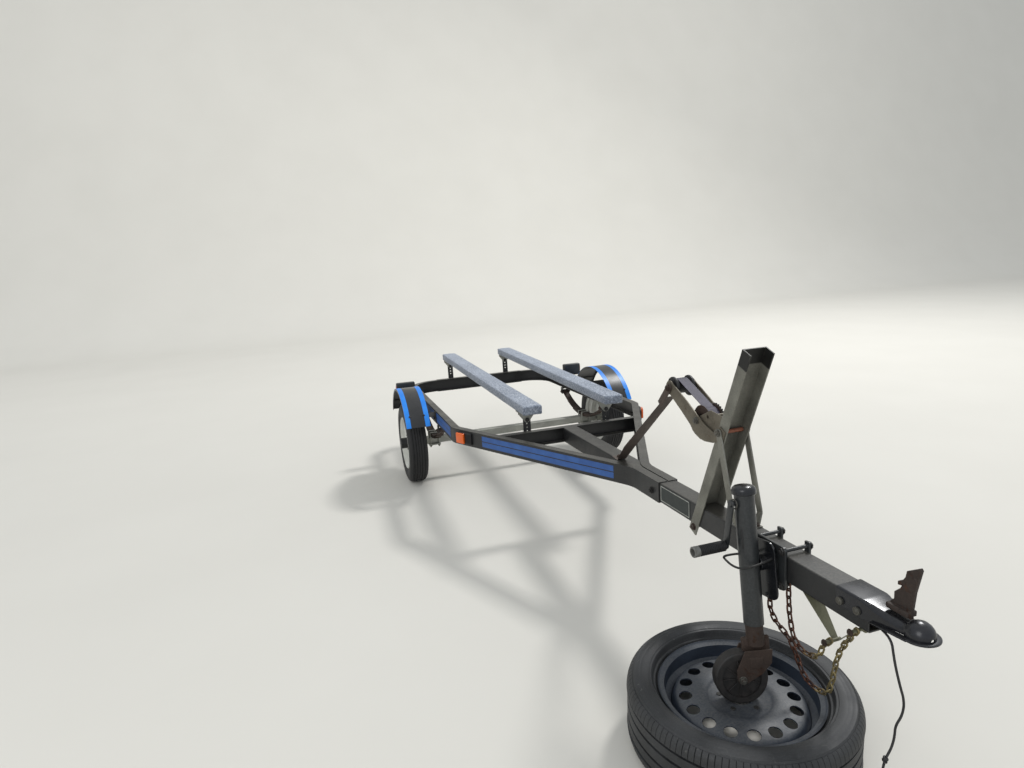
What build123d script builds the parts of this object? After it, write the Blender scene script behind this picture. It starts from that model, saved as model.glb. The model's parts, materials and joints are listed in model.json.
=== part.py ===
import os
from math import acos, atan2, cos, degrees, hypot, radians, sin

from build123d import *

os.makedirs("parts", exist_ok=True)

# A light boat trailer, parked nose-up with its jack standing in a wheel that lies on the ground.
# It is drawn with its frame level, then every piece of it is turned about the axle by nose_up.
# X is across the trailer, -Y is towards the coupler and z = 0 is the ground. Sizes are millimetres.
# Names ending in _ahead or _behind are distances from the axle along the trailer.
nose_up = 1.78
bunk_rear_behind = 830.0

# Frame: a square tongue between two bent channel rails, closed by two cross members
steel = 3.0
tongue_size = 76.0
tongue_wall = 4.0
tongue_top = 498.0
tongue_ahead = 2987.0
rail_flange = 38.0
rail_front_ahead = 2018.0
rail_splay_ahead = 1808.0
rail_side_ahead = 755.0
rail_side_x = 559.5
rail_rear_behind = 807.0
rail_end_x = 310.0
rail_bend_radii = (150.0, 120.0, 200.0)
cross_front_ahead = 1058.0
rear_cross_half = 340.0

# Axle, springs and road wheels
axle_size = 45.0
spindle_radius = 13.0
bearing_play = 0.06
wheel_x = 676.0
tyre_radius = 252.0
tyre_width = 119.0
rim_width = 102.0
bead_radius = 152.4
rim_flange_radius = 165.0
rim_steel = 3.0
hub_face_offset = 18.0
hub_barrel_radius = 31.0
hub_flange_radius = 62.0
hub_inner_offset = 52.0
cap_out_offset = 80.0
cap_wall = 3.0
spring_x = 537.0
spring_width = 44.0
spring_leaf = 7.0
spring_half_span = 330.0
spring_eye_rise = 98.0
spring_eye_radius = 15.0
spring_eye_bore = 7.0
hanger_wall = 5.0
seat_gap = 0.3

# Fenders and lights
fender_radius = 356.0
fender_width = 145.0
fender_steel = 2.0
fender_lip = 12.0
fender_low_angle = 28.0
fender_bracket_angle = 40.0
fender_bar = (30.0, 5.0)
light_size = (130.0, 42.0, 78.0)
light_lens_depth = 14.0
light_inner_x = 568.0
light_front_behind = 405.0
light_foot_z = 497.0
light_shelf = 5.0
marker_from_ahead = 782.0
marker_to_ahead = 925.0
marker_lens_to_ahead = 868.0
marker_height = 64.0
marker_base_depth = 10.0
marker_lens_depth = 24.0

# Bunks and their swivel brackets
bunk_x = 223.0
bunk_width = 104.0
bunk_thick = 50.0
bunk_front_ahead = 1127.0
bunk_front_top = 652.0
bunk_rear_top = 696.0
bunk_round = 9.0
post_plate = 5.0
post_width = 40.0
post_foot_drop = 62.0
swivel_width = 92.0
swivel_drop = 45.0
swivel_plate = 4.0
swivel_saddle = 42.0

# Winch post: a channel that straddles the tongue and leans forward
post_lean = 23.6
post_ahead = 2268.0
post_wall = 4.0
post_flange = 41.0
post_top = 618.0
post_tail = 104.0
strut_bar = (25.0, 5.0)
strut_top = (-19.0, 328.0)
strut_foot_ahead = 2530.0
strut_foot_z = 466.0
rod_radius = 6.0
arm_wall = 5.0
roller_at = (290.0, 297.0)
roller_disc_radius = 24.0
roller_disc = 11.0
roller_half = 36.5
roller_core_radius = 12.0
roller_pin_radius = 6.0
arm_tip_radius = 20.0
brace_bar = (40.0, 5.0)
brace_x = -14.0
brace_bolt = (250.0, 278.0)
brace_foot_ahead = 1664.0

# Winch on the back of the post
drum_at = (95.0, 315.0)
drum_core_radius = 24.0
coil_radius = 37.0
drum_flange_radius = 42.0
drum_flange = 2.5
drum_half = 25.0
winch_shaft_radius = 8.0
cheek_x = 36.0
cheek_wall = 3.0
gear_teeth = 22
gear_radius = 46.0
gear_tooth = 5.0
gear_thick = 6.0
pinion_at = (53.0, 352.0)
pinion_radius = 10.0
strap_width = 40.0
strap_thick = 2.5
strap_gap = 5.0

# Jack: its leg slides in a tube that leans on the side of the tongue
jack_x = -107.8
jack_ahead = 2638.4
jack_z = 450.0
jack_lean = 7.06
jack_tube_radius = 28.5
jack_tube_wall = 3.0
jack_tube_up = 222.0
jack_tube_down = 164.5
jack_cap_radius = 32.0
jack_cap_height = 16.0
leg_clearance = 0.4
leg_wall = 3.0
leg_up = 140.0
leg_down = 226.0
bracket_half = 58.0
bracket_wall = 8.0
clamp_bar = (24.0, 8.0)
clamp_reach = 56.0
clamp_bolt_radius = 5.0
swivel_disc_radius = 44.0
swivel_disc = 14.0
crank_up = 192.0
crank_shaft_radius = 8.0
crank_arm_out = 42.0
crank_arm = (22.0, 6.0)
crank_reach = 124.0
grip_length = 98.0
grip_radius = 13.0
bail_radius = 44.0
bail_wire = 3.0

# Caster under the leg
caster_radius = 76.0
caster_width = 40.0
caster_trail = 52.0
caster_turn = 17.5
caster_drop = 317.0
caster_pin_radius = 6.5
fork_wall = 4.0
fork_gap = 5.0
fork_crown = 8.0

# The wheel on the ground: a passenger-car steel wheel and tyre, outer face up
spare_tyre_radius = 325.0
spare_tyre_width = 205.0
spare_rubber = 9.0
spare_bead_radius = 218.0
spare_flange_radius = 234.0
spare_rim_width = 148.0
spare_steel = 4.0
spare_dish_z = 145.2
spare_hub_radius = 32.0
spare_holes = 16
spare_hole_radius = 11.5
spare_hole_circle = 158.0
spare_lugs = 5
spare_lug_circle = 57.0

# Coupler, latch, foot under the tongue, name plate
coupler_wall = 4.0
coupler_rear_ahead = 2889.0
coupler_depth = 50.0
coupler_bolts_ahead = (2905.0, 2958.0)
coupler_bolt_z = 468.0
coupler_neck_ahead = 2992.0
socket_ahead = 3092.0
socket_z = 462.0
socket_radius = 26.0
socket_wall = 5.0
socket_lip = 3.0
latch_width = 10.0
foot_width = 52.0
foot_bar = 5.0
plate_from_ahead = 2030.0
plate_to_ahead = 2225.0
plate_thick = 1.5

tilt_cos = cos(radians(nose_up))
tilt_sin = sin(radians(nose_up))


def parked_reach(along, height):
    """Distance from the axle of a point of the level trailer, once it is parked nose-up."""
    return along * tilt_cos - height * tilt_sin


socket_outer = socket_radius + socket_wall
nose_reach = parked_reach(socket_ahead, socket_z - tyre_radius) + socket_outer
tail_reach = bunk_rear_behind * tilt_cos + (bunk_rear_top - tyre_radius) * tilt_sin
axle_y = (nose_reach - tail_reach) / 2
axle_line = Axis((0, axle_y, tyre_radius), (1, 0, 0))


def ahead(distance):
    return axle_y - distance


def behind(distance):
    return axle_y + distance


def parked(point):
    """Where a point of the level drawing stands once the trailer is parked."""
    x, y, z = point
    along = y - axle_y
    height = z - tyre_radius
    return (
        x,
        axle_y + along * tilt_cos + height * tilt_sin,
        tyre_radius + height * tilt_cos - along * tilt_sin,
    )


def finish(piece, name, on_trailer=True):
    """Turn a finished piece to the parked attitude, label it and write it."""
    solid = piece.part.rotate(axle_line, -nose_up) if on_trailer else piece.part
    solid.label = name
    export_step(solid, f"parts/{name}.step")


def block(xs, ys, zs, mode=Mode.ADD):
    """A box between two limits on each axis."""
    size = [high - low for low, high in (xs, ys, zs)]
    centre = tuple((low + high) / 2 for low, high in (xs, ys, zs))
    with Locations(centre):
        Box(*size, mode=mode)


def rod(start, end, radius, mode=Mode.ADD):
    """A round bar between two points."""
    run = Vector(*end) - Vector(*start)
    with BuildSketch(Plane(origin=start, z_dir=run)) as section:
        Circle(radius)
    extrude(section.sketch, amount=run.length, mode=mode)


def flat_bar(start, end, width, thick, across=(1, 0, 0)):
    """A flat bar between two points, its width lying along across."""
    run = Vector(*end) - Vector(*start)
    with BuildSketch(Plane(origin=start, x_dir=across, z_dir=run)) as section:
        Rectangle(width, thick)
    extrude(section.sketch, amount=run.length)


def side_plate(points, x_low, x_high, mode=Mode.ADD):
    """A plate cut to an outline of (y, z) points, between two places across the trailer."""
    with BuildSketch(Plane.YZ.offset(x_low)) as outline:
        with BuildLine():
            Polyline(*points, close=True)
        make_face()
    extrude(outline.sketch, amount=x_high - x_low, mode=mode)


sides = (("left", 1), ("right", -1))
rail_height = tongue_size + 2 * steel
rail_top = tongue_top + steel
rail_bottom = rail_top - rail_height
rail_face_x = tongue_size / 2 + steel
tongue_bottom = tongue_top - tongue_size
splay = (rail_side_x - rail_face_x) / (rail_splay_ahead - rail_side_ahead)


def rail_x(distance_ahead):
    """Outer face of a rail along its splayed run."""
    return rail_face_x + splay * (rail_splay_ahead - distance_ahead)


# Tongue tube
with BuildPart() as tongue_tube:
    with BuildSketch(Plane((0, ahead(tongue_ahead), tongue_top - tongue_size / 2), (1, 0, 0), (0, 1, 0))):
        RectangleRounded(tongue_size, tongue_size, 1.5 * tongue_wall)
        inner = tongue_size - 2 * tongue_wall
        RectangleRounded(inner, inner, 0.5 * tongue_wall, mode=Mode.SUBTRACT)
    extrude(amount=tongue_ahead - cross_front_ahead)
    for distance in coupler_bolts_ahead:
        bolt = (ahead(distance), coupler_bolt_z)
        rod((-tongue_size, *bolt), (tongue_size, *bolt), rod_radius + seat_gap, Mode.SUBTRACT)
finish(tongue_tube, "tongue_tube")


# Rails
def make_rail(side):
    corners = [
        (side * rail_face_x, ahead(rail_front_ahead)),
        (side * rail_face_x, ahead(rail_splay_ahead)),
        (side * rail_side_x, ahead(rail_side_ahead)),
        (side * rail_side_x, behind(rail_rear_behind)),
        (side * rail_end_x, behind(rail_rear_behind)),
    ]
    middle = rail_top - rail_height / 2
    with BuildPart() as rail:
        with BuildLine() as path:
            FilletPolyline(*[(x, y, middle) for x, y in corners], radius=list(rail_bend_radii))
        with BuildSketch(Plane(path.line @ 0, (-side, 0, 0), (0, 1, 0))):
            edge = (Align.MIN, Align.CENTER)
            Rectangle(rail_flange, rail_height, align=edge)
            with Locations((steel, 0)):
                Rectangle(rail_flange, rail_height - 2 * steel, align=edge, mode=Mode.SUBTRACT)
        sweep(path=path.line)
    return rail


for name, side in sides:
    finish(make_rail(side), f"rail_{name}")


# Cross members: channels open to the front
def channel_outline(front_y, top, height, depth):
    """Outline of a channel open to the front, as (y, z) points."""
    back = front_y + depth
    low = top - height
    return [
        (front_y, top),
        (back, top),
        (back, low),
        (front_y, low),
        (front_y, low + steel),
        (back - steel, low + steel),
        (back - steel, top - steel),
        (front_y, top - steel),
    ]


def web_inner_x(distance_ahead):
    return rail_x(distance_ahead) - steel * hypot(1, splay)


cross_back_ahead = cross_front_ahead - rail_flange
with BuildPart() as front_crossmember:
    half = web_inner_x(cross_back_ahead)
    outline = channel_outline(ahead(cross_front_ahead), tongue_top, tongue_size, rail_flange)
    side_plate(outline, -half, half)
    with BuildSketch(Plane.XY.offset(tongue_bottom)):
        with BuildLine():
            near = web_inner_x(cross_front_ahead)
            Polyline(
                (-near, ahead(cross_front_ahead)),
                (near, ahead(cross_front_ahead)),
                (half, ahead(cross_back_ahead)),
                (-half, ahead(cross_back_ahead)),
                close=True,
            )
        make_face()
    extrude(amount=tongue_size, mode=Mode.INTERSECT)
finish(front_crossmember, "front_crossmember")

rear_cross_front = behind(rail_rear_behind - rail_flange)
with BuildPart() as rear_crossmember:
    outline = channel_outline(rear_cross_front, rail_top + steel, rail_height + 2 * steel, rail_flange + steel)
    side_plate(outline, -rear_cross_half, rear_cross_half)
finish(rear_crossmember, "rear_crossmember")

# Axle beam with a spindle at each end
spindle_end_x = wheel_x + hub_face_offset + 30
beam_half = wheel_x - hub_inner_offset - 8
with BuildPart() as axle_beam:
    beam = axle_size / 2
    block((-beam_half, beam_half), (axle_y - beam, axle_y + beam), (tyre_radius - beam, tyre_radius + beam))
    chamfer(axle_beam.edges().filter_by(Axis.X), 4)
    rod((-spindle_end_x, axle_y, tyre_radius), (spindle_end_x, axle_y, tyre_radius), spindle_radius)
finish(axle_beam, "axle_beam")

# Leaf springs: a main leaf rolled into an eye at each end over two shorter leaves
spring_seat_z = tyre_radius + axle_size / 2
main_leaf_z = spring_seat_z + 2.5 * spring_leaf
eye_z = main_leaf_z + spring_eye_rise


def leaf_outline(half_span, middle_z, rise):
    """A curved leaf, drawn as the ring between two arcs that rises by rise at its ends."""
    y_low, y_high = axle_y - half_span, axle_y + half_span
    low = middle_z - spring_leaf / 2
    high = middle_z + spring_leaf / 2
    with BuildLine() as leaf:
        lower = ThreePointArc((y_low, low + rise), (axle_y, low), (y_high, low + rise))
        upper = ThreePointArc((y_low, high + rise), (axle_y, high), (y_high, high + rise))
        Line(lower @ 0, upper @ 0)
        Line(lower @ 1, upper @ 1)
    make_face(leaf.edges())


def make_spring(side):
    inner_face = side * spring_x - spring_width / 2
    with BuildPart() as spring:
        with BuildSketch(Plane.YZ.offset(inner_face)):
            for order, share in enumerate((1.0, 0.72, 0.44)):
                half_span = share * spring_half_span
                leaf_outline(half_span, main_leaf_z - order * spring_leaf, spring_eye_rise * share**2)
            with Locations((axle_y - spring_half_span, eye_z), (axle_y + spring_half_span, eye_z)):
                Circle(spring_eye_radius)
                Circle(spring_eye_bore, mode=Mode.SUBTRACT)
        extrude(amount=spring_width)
    return spring


for name, side in sides:
    finish(make_spring(side), f"leaf_spring_{name}")

# Spring hangers: two ears and a bolt at each eye, welded under the rail
with BuildPart() as spring_hangers:
    for name, side in sides:
        for end in (-1, 1):
            eye_y = axle_y + end * spring_half_span
            half = spring_width / 2 + seat_gap
            centre = side * spring_x
            for ear in (-1, 1):
                ear_x = sorted((centre + ear * half, centre + ear * (half + hanger_wall)))
                with BuildSketch(Plane.YZ.offset(ear_x[0])):
                    with Locations((eye_y, eye_z)):
                        Circle(spring_eye_radius + 3)
                    with Locations((eye_y, (eye_z + rail_bottom) / 2)):
                        Rectangle(2 * spring_eye_radius + 6, rail_bottom - eye_z)
                extrude(amount=hanger_wall)
            top = sorted((centre - half - hanger_wall, centre + half + hanger_wall))
            block(top, (eye_y - 18, eye_y + 18), (rail_bottom - hanger_wall, rail_bottom))
            bolt_half = half + hanger_wall + 6
            rod((centre - bolt_half, eye_y, eye_z), (centre + bolt_half, eye_y, eye_z), spring_eye_bore)
finish(spring_hangers, "spring_hangers")

# Spring clamps: a plate below the beam and two U-bolts over each spring
clamp_plate = 8.0
u_bolt = 5.0
with BuildPart() as spring_clamps:
    top_z = spring_seat_z + 3 * spring_leaf + 1
    low_z = tyre_radius - axle_size / 2 - clamp_plate
    leg_x = spring_width / 2 + u_bolt + seat_gap
    for name, side in sides:
        centre = side * spring_x
        plate_half = leg_x + u_bolt + 4
        plate_y = axle_size / 2 + 2 * u_bolt + 8
        block(
            (centre - plate_half, centre + plate_half),
            (axle_y - plate_y, axle_y + plate_y),
            (low_z, low_z + clamp_plate),
        )
        for end in (-1, 1):
            leg_y = axle_y + end * (axle_size / 2 + u_bolt + seat_gap)
            for leg in (-1, 1):
                x = centre + leg * leg_x
                rod((x, leg_y, low_z - 14), (x, leg_y, top_z + u_bolt + seat_gap), u_bolt)
            over = top_z + u_bolt + seat_gap
            rod((centre - leg_x, leg_y, over), (centre + leg_x, leg_y, over), u_bolt)
finish(spring_clamps, "spring_clamps")


# Road wheels
def wheel_plane(side):
    """Half section of a wheel: local x runs outwards along the axle, local y is the radius."""
    return Plane((side * wheel_x, axle_y, tyre_radius), (side, 0, 0), (0, -side, 0))


def ring(side, profiles):
    """Turn closed half sections, given as lists of (offset, radius), about the axle."""
    with BuildPart() as turned:
        for points, mode in profiles:
            with BuildSketch(wheel_plane(side)):
                with BuildLine():
                    Polyline(*points, close=True)
                make_face()
            revolve(axis=axle_line, mode=mode)
    return turned


bead_x = rim_width / 2 - 7.2
crown = tyre_radius
tyre_half = tyre_width / 2
rubber = 8.0
tyre_bead = bead_radius + rim_steel / 2 + seat_gap
tyre_outside = [
    (bead_x, tyre_bead),
    (bead_x + 2, rim_flange_radius - 2),
    (bead_x + 3.4, rim_flange_radius + 3),
    (tyre_half - 3, 0.74 * crown),
    (tyre_half, 0.82 * crown),
    (tyre_half - 3, 0.92 * crown),
    (tyre_half - 14, crown - 4),
    (22, crown),
]
tyre_inside = [
    (22, crown - rubber),
    (tyre_half - 18, crown - rubber - 4),
    (tyre_half - rubber, 0.82 * crown),
    (bead_x - rubber, tyre_bead),
]


def mirrored(points):
    return [(-x, y) for x, y in reversed(points)]


tyre_profile = tyre_outside + mirrored(tyre_outside) + mirrored(tyre_inside) + tyre_inside
rim_line = [
    (rim_width / 2 + 3, rim_flange_radius - 3),
    (rim_width / 2, rim_flange_radius),
    (rim_width / 2 - 3, bead_radius + 8),
    (rim_width / 2 - 5, bead_radius),
    (28, bead_radius - 2),
    (20, bead_radius - 20),
]
disc_line = [
    (hub_face_offset - 4, bead_radius - 20),
    (hub_face_offset - 6, 104),
    (hub_face_offset + 4, 84),
    (hub_face_offset + rim_steel / 2, hub_flange_radius),
    (hub_face_offset + rim_steel / 2, hub_barrel_radius + seat_gap),
]


def make_rim(side):
    with BuildPart() as rim:
        with BuildSketch(wheel_plane(side)):
            with BuildLine() as barrel:
                Polyline(*(rim_line + mirrored(rim_line)))
            trace(barrel.line, line_width=rim_steel)
            with BuildLine() as disc:
                Polyline(*disc_line)
            trace(disc.line, line_width=rim_steel)
        revolve(axis=axle_line)
    return rim


hub_profile = [
    (-hub_inner_offset, spindle_radius + bearing_play),
    (-hub_inner_offset, hub_barrel_radius),
    (hub_face_offset - 9, hub_barrel_radius),
    (hub_face_offset - 9, hub_flange_radius),
    (hub_face_offset, hub_flange_radius),
    (hub_face_offset, hub_barrel_radius),
    (hub_face_offset + 36, hub_barrel_radius),
    (hub_face_offset + 36, spindle_radius + bearing_play),
]
cap_inner = hub_barrel_radius + seat_gap
cap_start = hub_face_offset + rim_steel + seat_gap
cap_profile = [
    (cap_start, cap_inner),
    (cap_start, cap_inner + cap_wall),
    (cap_out_offset - 4, cap_inner + cap_wall),
    (cap_out_offset, cap_inner - 2),
    (cap_out_offset, 0),
    (hub_face_offset + 36 + seat_gap, 0),
    (hub_face_offset + 36 + seat_gap, cap_inner),
]

for name, side in sides:
    finish(ring(side, [(hub_profile, Mode.ADD)]), f"hub_{name}")
    finish(make_rim(side), f"rim_{name}")
    finish(ring(side, [(tyre_profile, Mode.ADD)]), f"tyre_{name}")
    finish(ring(side, [(cap_profile, Mode.ADD)]), f"hub_cap_{name}")


# Fenders: rolled sheet with a lip along the outer edge
def make_fender(side):
    low = radians(fender_low_angle)
    radial = Vector(0, -cos(low), sin(low))
    across = Vector(1, 0, 0)
    section = Plane((side * wheel_x, axle_y, tyre_radius), across, across.cross(radial))
    half = fender_width / 2 - fender_steel / 2
    crest = fender_radius - fender_steel / 2
    with BuildPart() as fender:
        with BuildSketch(section):
            with BuildLine() as sheet:
                Polyline((-side * half, crest), (side * half, crest), (side * half, crest - fender_lip))
            trace(sheet.line, line_width=fender_steel)
        turn = Axis((0, axle_y, tyre_radius), (-1, 0, 0))
        revolve(axis=turn, revolution_arc=180 - 2 * fender_low_angle)
    return fender


for name, side in sides:
    finish(make_fender(side), f"fender_{name}")

with BuildPart() as fender_brackets:
    bar_width, bar_thick = fender_bar
    bracket_radius = fender_radius - fender_steel - seat_gap - bar_thick / 2 - 0.4
    for name, side in sides:
        for end in (-1, 1):
            lift = radians(fender_bracket_angle)
            bar_y = axle_y + end * bracket_radius * cos(lift)
            bar_z = tyre_radius + bracket_radius * sin(lift)
            root_x = side * rail_side_x
            with BuildSketch(Plane((root_x, bar_y, bar_z), (0, 1, 0), (side, 0, 0))):
                Rectangle(bar_width, bar_thick, rotation=side * end * (fender_bracket_angle - 90))
            extrude(amount=wheel_x + fender_width / 2 - fender_lip - rail_side_x)
            tab = sorted((root_x, root_x + side * bar_thick))
            block(tab, (bar_y - 24, bar_y + 24), (rail_bottom + 8, rail_top - 8))
finish(fender_brackets, "fender_brackets")

# Tail lights on shelves behind the fenders
light_width, light_depth, light_height = light_size
light_y = (behind(light_front_behind), behind(light_front_behind + light_depth))
lens_y = (light_y[1], light_y[1] + light_lens_depth)
with BuildPart() as light_brackets:
    for name, side in sides:
        shelf_x = sorted((side * rail_side_x, side * (light_inner_x + light_width)))
        block(shelf_x, light_y, (light_foot_z - light_shelf, light_foot_z))
        tab_x = sorted((side * rail_side_x, side * (rail_side_x + light_shelf)))
        block(tab_x, light_y, (rail_bottom + 10, light_foot_z))
finish(light_brackets, "light_brackets")

with BuildPart() as tail_lights:
    for name, side in sides:
        light_x = sorted((side * light_inner_x, side * (light_inner_x + light_width)))
        block(light_x, light_y, (light_foot_z, light_foot_z + light_height))
finish(tail_lights, "tail_lights")

with BuildPart() as tail_lenses:
    for name, side in sides:
        lens_x = sorted((side * (light_inner_x + 6), side * (light_inner_x + light_width - 6)))
        block(lens_x, lens_y, (light_foot_z + 6, light_foot_z + light_height - 6))
finish(tail_lenses, "tail_lenses")


# Side markers on the outer face of the rails, just ahead of the wheel
def rail_face_plane(side, distance_ahead):
    """Plane on a rail's splayed outer face: x forward along the rail, z outwards."""
    forward = Vector(-side * splay, -1, 0).normalized()
    outward = Vector(side, -splay, 0).normalized()
    origin = (side * rail_x(distance_ahead), ahead(distance_ahead), rail_top - rail_height / 2)
    return Plane(origin, forward, outward)


def marker_blocks(from_ahead, to_ahead, height, depth, lift):
    for name, side in sides:
        length = (to_ahead - from_ahead) * hypot(1, splay)
        with BuildSketch(rail_face_plane(side, (from_ahead + to_ahead) / 2).offset(lift)) as outline:
            Rectangle(length, height)
        extrude(outline.sketch, amount=depth)


with BuildPart() as marker_bases:
    marker_blocks(marker_from_ahead + 40, marker_to_ahead, marker_height, marker_base_depth, 0)
finish(marker_bases, "marker_bases")

with BuildPart() as marker_lenses:
    lens_from = marker_from_ahead + 44
    marker_blocks(lens_from, marker_lens_to_ahead + 14, marker_height - 8, marker_lens_depth - 10, 10)
finish(marker_lenses, "marker_lenses")

# Bunks: carpeted boards, a little higher at the rear
bunk_run = bunk_front_ahead + bunk_rear_behind
bunk_slope = (bunk_rear_top - bunk_front_top) / bunk_run


def bunk_top_z(distance_ahead):
    return bunk_front_top + bunk_slope * (bunk_front_ahead - distance_ahead)


def make_bunk(side):
    with BuildPart() as bunk:
        outline = [
            (ahead(bunk_front_ahead), bunk_front_top),
            (behind(bunk_rear_behind), bunk_rear_top),
            (behind(bunk_rear_behind), bunk_rear_top - bunk_thick),
            (ahead(bunk_front_ahead), bunk_front_top - bunk_thick),
        ]
        centre = side * bunk_x
        side_plate(outline, centre - bunk_width / 2, centre + bunk_width / 2)
        long_edges = bunk.edges().filter_by(lambda edge: edge.length > bunk_run - 1)
        fillet(long_edges, bunk_round)
    return bunk


for name, side in sides:
    finish(make_bunk(side), f"bunk_{name}")

# Bunk posts stand behind the cross members and carry swivel brackets
post_stations = (
    (-cross_back_ahead, tongue_top, 1),
    (rail_rear_behind + steel, rail_top + steel, -1),
)


def swivel_bolt_z(station):
    return bunk_top_z(-station) - bunk_thick - swivel_drop


with BuildPart() as bunk_posts:
    for station, member_top, saddle_way in post_stations:
        for name, side in sides:
            centre = side * bunk_x
            top = swivel_bolt_z(station) + 16
            face = behind(station)
            block(
                (centre - post_width / 2, centre + post_width / 2),
                (face, face + post_plate),
                (member_top - post_foot_drop, top),
            )
            for hole in range(3):
                height = swivel_bolt_z(station) - 20 * hole - 22
                rod((centre, face - 1, height), (centre, face + post_plate + 1, height), 4, Mode.SUBTRACT)
finish(bunk_posts, "bunk_posts")

with BuildPart() as bunk_swivels:
    for station, member_top, saddle_way in post_stations:
        for name, side in sides:
            centre = side * bunk_x
            face = behind(station)
            under = bunk_top_z(-station) - bunk_thick
            bolt_z = swivel_bolt_z(station)
            ear_y = face - swivel_plate
            with BuildSketch(Plane((0, ear_y, 0), (1, 0, 0), (0, -1, 0)).offset(-swivel_plate)):
                with BuildLine():
                    Polyline(
                        (centre - swivel_width / 2, under - 2),
                        (centre + swivel_width / 2, under - 2),
                        (centre + swivel_width / 2, under - 12),
                        (centre + 14, bolt_z - 8),
                        (centre + 8, bolt_z - 14),
                        (centre - 8, bolt_z - 14),
                        (centre - 14, bolt_z - 8),
                        (centre - swivel_width / 2, under - 12),
                        close=True,
                    )
                make_face()
            extrude(amount=swivel_plate)
            saddle_y = sorted((ear_y, ear_y + swivel_plate, ear_y + saddle_way * swivel_saddle))
            ends = [(y, under + bunk_slope * (y - face)) for y in (saddle_y[0], saddle_y[-1])]
            saddle = ends + [(y, z - swivel_plate) for y, z in reversed(ends)]
            side_plate(saddle, centre - swivel_width / 2, centre + swivel_width / 2)
            rod((centre, ear_y - 8, bolt_z), (centre, face, bolt_z), 8)
finish(bunk_swivels, "bunk_swivels")

# Winch post. Its own plane: local x is out from the web's back face, local y is up along the post.
lean = radians(post_lean)
post_out = Vector(0, cos(lean), sin(lean))
post_up = Vector(0, -sin(lean), cos(lean))
post_foot = Vector(0, ahead(post_ahead), tongue_top)
post_outer_x = tongue_size / 2 + post_wall


def on_post(out, up, x=0.0):
    """A point given by its distance out from the post's back face and up along it."""
    point = post_foot + post_out * out + post_up * up
    return (x, point.Y, point.Z)


def post_plane(x):
    """Plane of a plate beside the post, facing +X, with x out from the post and y up along it."""
    return Plane((x, post_foot.Y, post_foot.Z), post_out, (1, 0, 0))


with BuildPart() as winch_post:
    with BuildSketch(post_plane(-post_outer_x)):
        with Locations((-post_flange / 2, (post_top - post_tail) / 2)):
            Rectangle(post_flange, post_top + post_tail)
    extrude(amount=2 * post_outer_x)
    with BuildSketch(post_plane(-tongue_size / 2)):
        with Locations((-post_flange / 2 - post_wall, post_top / 2)):
            Rectangle(post_flange, post_top + 2 * post_tail)
    extrude(amount=tongue_size, mode=Mode.SUBTRACT)
    block(
        (-tongue_size / 2, tongue_size / 2),
        (post_foot.Y - 200, post_foot.Y + 200),
        (tongue_bottom - 60, tongue_top),
        Mode.SUBTRACT,
    )
    foot_bolt = on_post(-post_flange / 2, -post_tail + 22)
    rod((-post_outer_x - 8, *foot_bolt[1:]), (post_outer_x + 8, *foot_bolt[1:]), rod_radius)
    rod(on_post(-20, 204), on_post(20, 204), 7, Mode.SUBTRACT)
    through = on_post(*strut_top)
    rod((-60, *through[1:]), (60, *through[1:]), rod_radius + seat_gap, Mode.SUBTRACT)
finish(winch_post, "winch_post")


def side_pairs(inner, thick):
    """The two places across the trailer of a plate that stands on either side of it."""
    return ((-inner - thick, -inner), (inner, inner + thick))


# Bow stop: two arms bolted to the post carry a roller on a pin
arm_inner = post_outer_x + seat_gap
arm_outer = arm_inner + arm_wall
arm_outline = [
    (-40, 346),
    (60, 340),
    (160, 320),
    (roller_at[0], roller_at[1] + arm_tip_radius),
    (roller_at[0], roller_at[1] - arm_tip_radius),
    (250, 262),
    (180, 250),
    (110, 240),
    (60, 244),
    (20, 262),
    (-40, 308),
]
with BuildPart() as bow_stop_arms:
    for x_low, x_high in side_pairs(arm_inner, arm_wall):
        with BuildSketch(post_plane(x_low)):
            with BuildLine():
                Polyline(*arm_outline, close=True)
            make_face()
            with Locations(roller_at):
                Circle(arm_tip_radius)
            with Locations(strut_top, brace_bolt, roller_at):
                Circle(rod_radius + seat_gap, mode=Mode.SUBTRACT)
        extrude(amount=arm_wall)
finish(bow_stop_arms, "bow_stop_arms")

with BuildPart() as bow_roller_pin:
    pin_end = arm_outer + 6
    rod(on_post(*roller_at, -pin_end), on_post(*roller_at, pin_end), roller_pin_radius)
    collar_in = roller_half + seat_gap
    for sign in (-1, 1):
        collar = (on_post(*roller_at, sign * collar_in), on_post(*roller_at, sign * arm_inner))
        rod(*collar, roller_pin_radius + 3)
        rod(on_post(*roller_at, sign * arm_outer), on_post(*roller_at, sign * (arm_outer + 5)), 11)
    rod(on_post(*brace_bolt, -pin_end), on_post(*brace_bolt, pin_end), rod_radius)
finish(bow_roller_pin, "bow_roller_pin")

with BuildPart() as bow_roller:
    rod(on_post(*roller_at, -roller_half), on_post(*roller_at, roller_half), roller_core_radius)
    for sign in (-1, 1):
        disc_in = sign * (roller_half - roller_disc)
        rod(on_post(*roller_at, disc_in), on_post(*roller_at, sign * roller_half), roller_disc_radius)
    fillet(bow_roller.edges().filter_by(GeomType.CIRCLE).filter_by(lambda e: e.radius > 20), 2.5)
    bore = roller_pin_radius + bearing_play
    rod(on_post(*roller_at, -50), on_post(*roller_at, 50), bore, Mode.SUBTRACT)
finish(bow_roller, "bow_roller")

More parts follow.
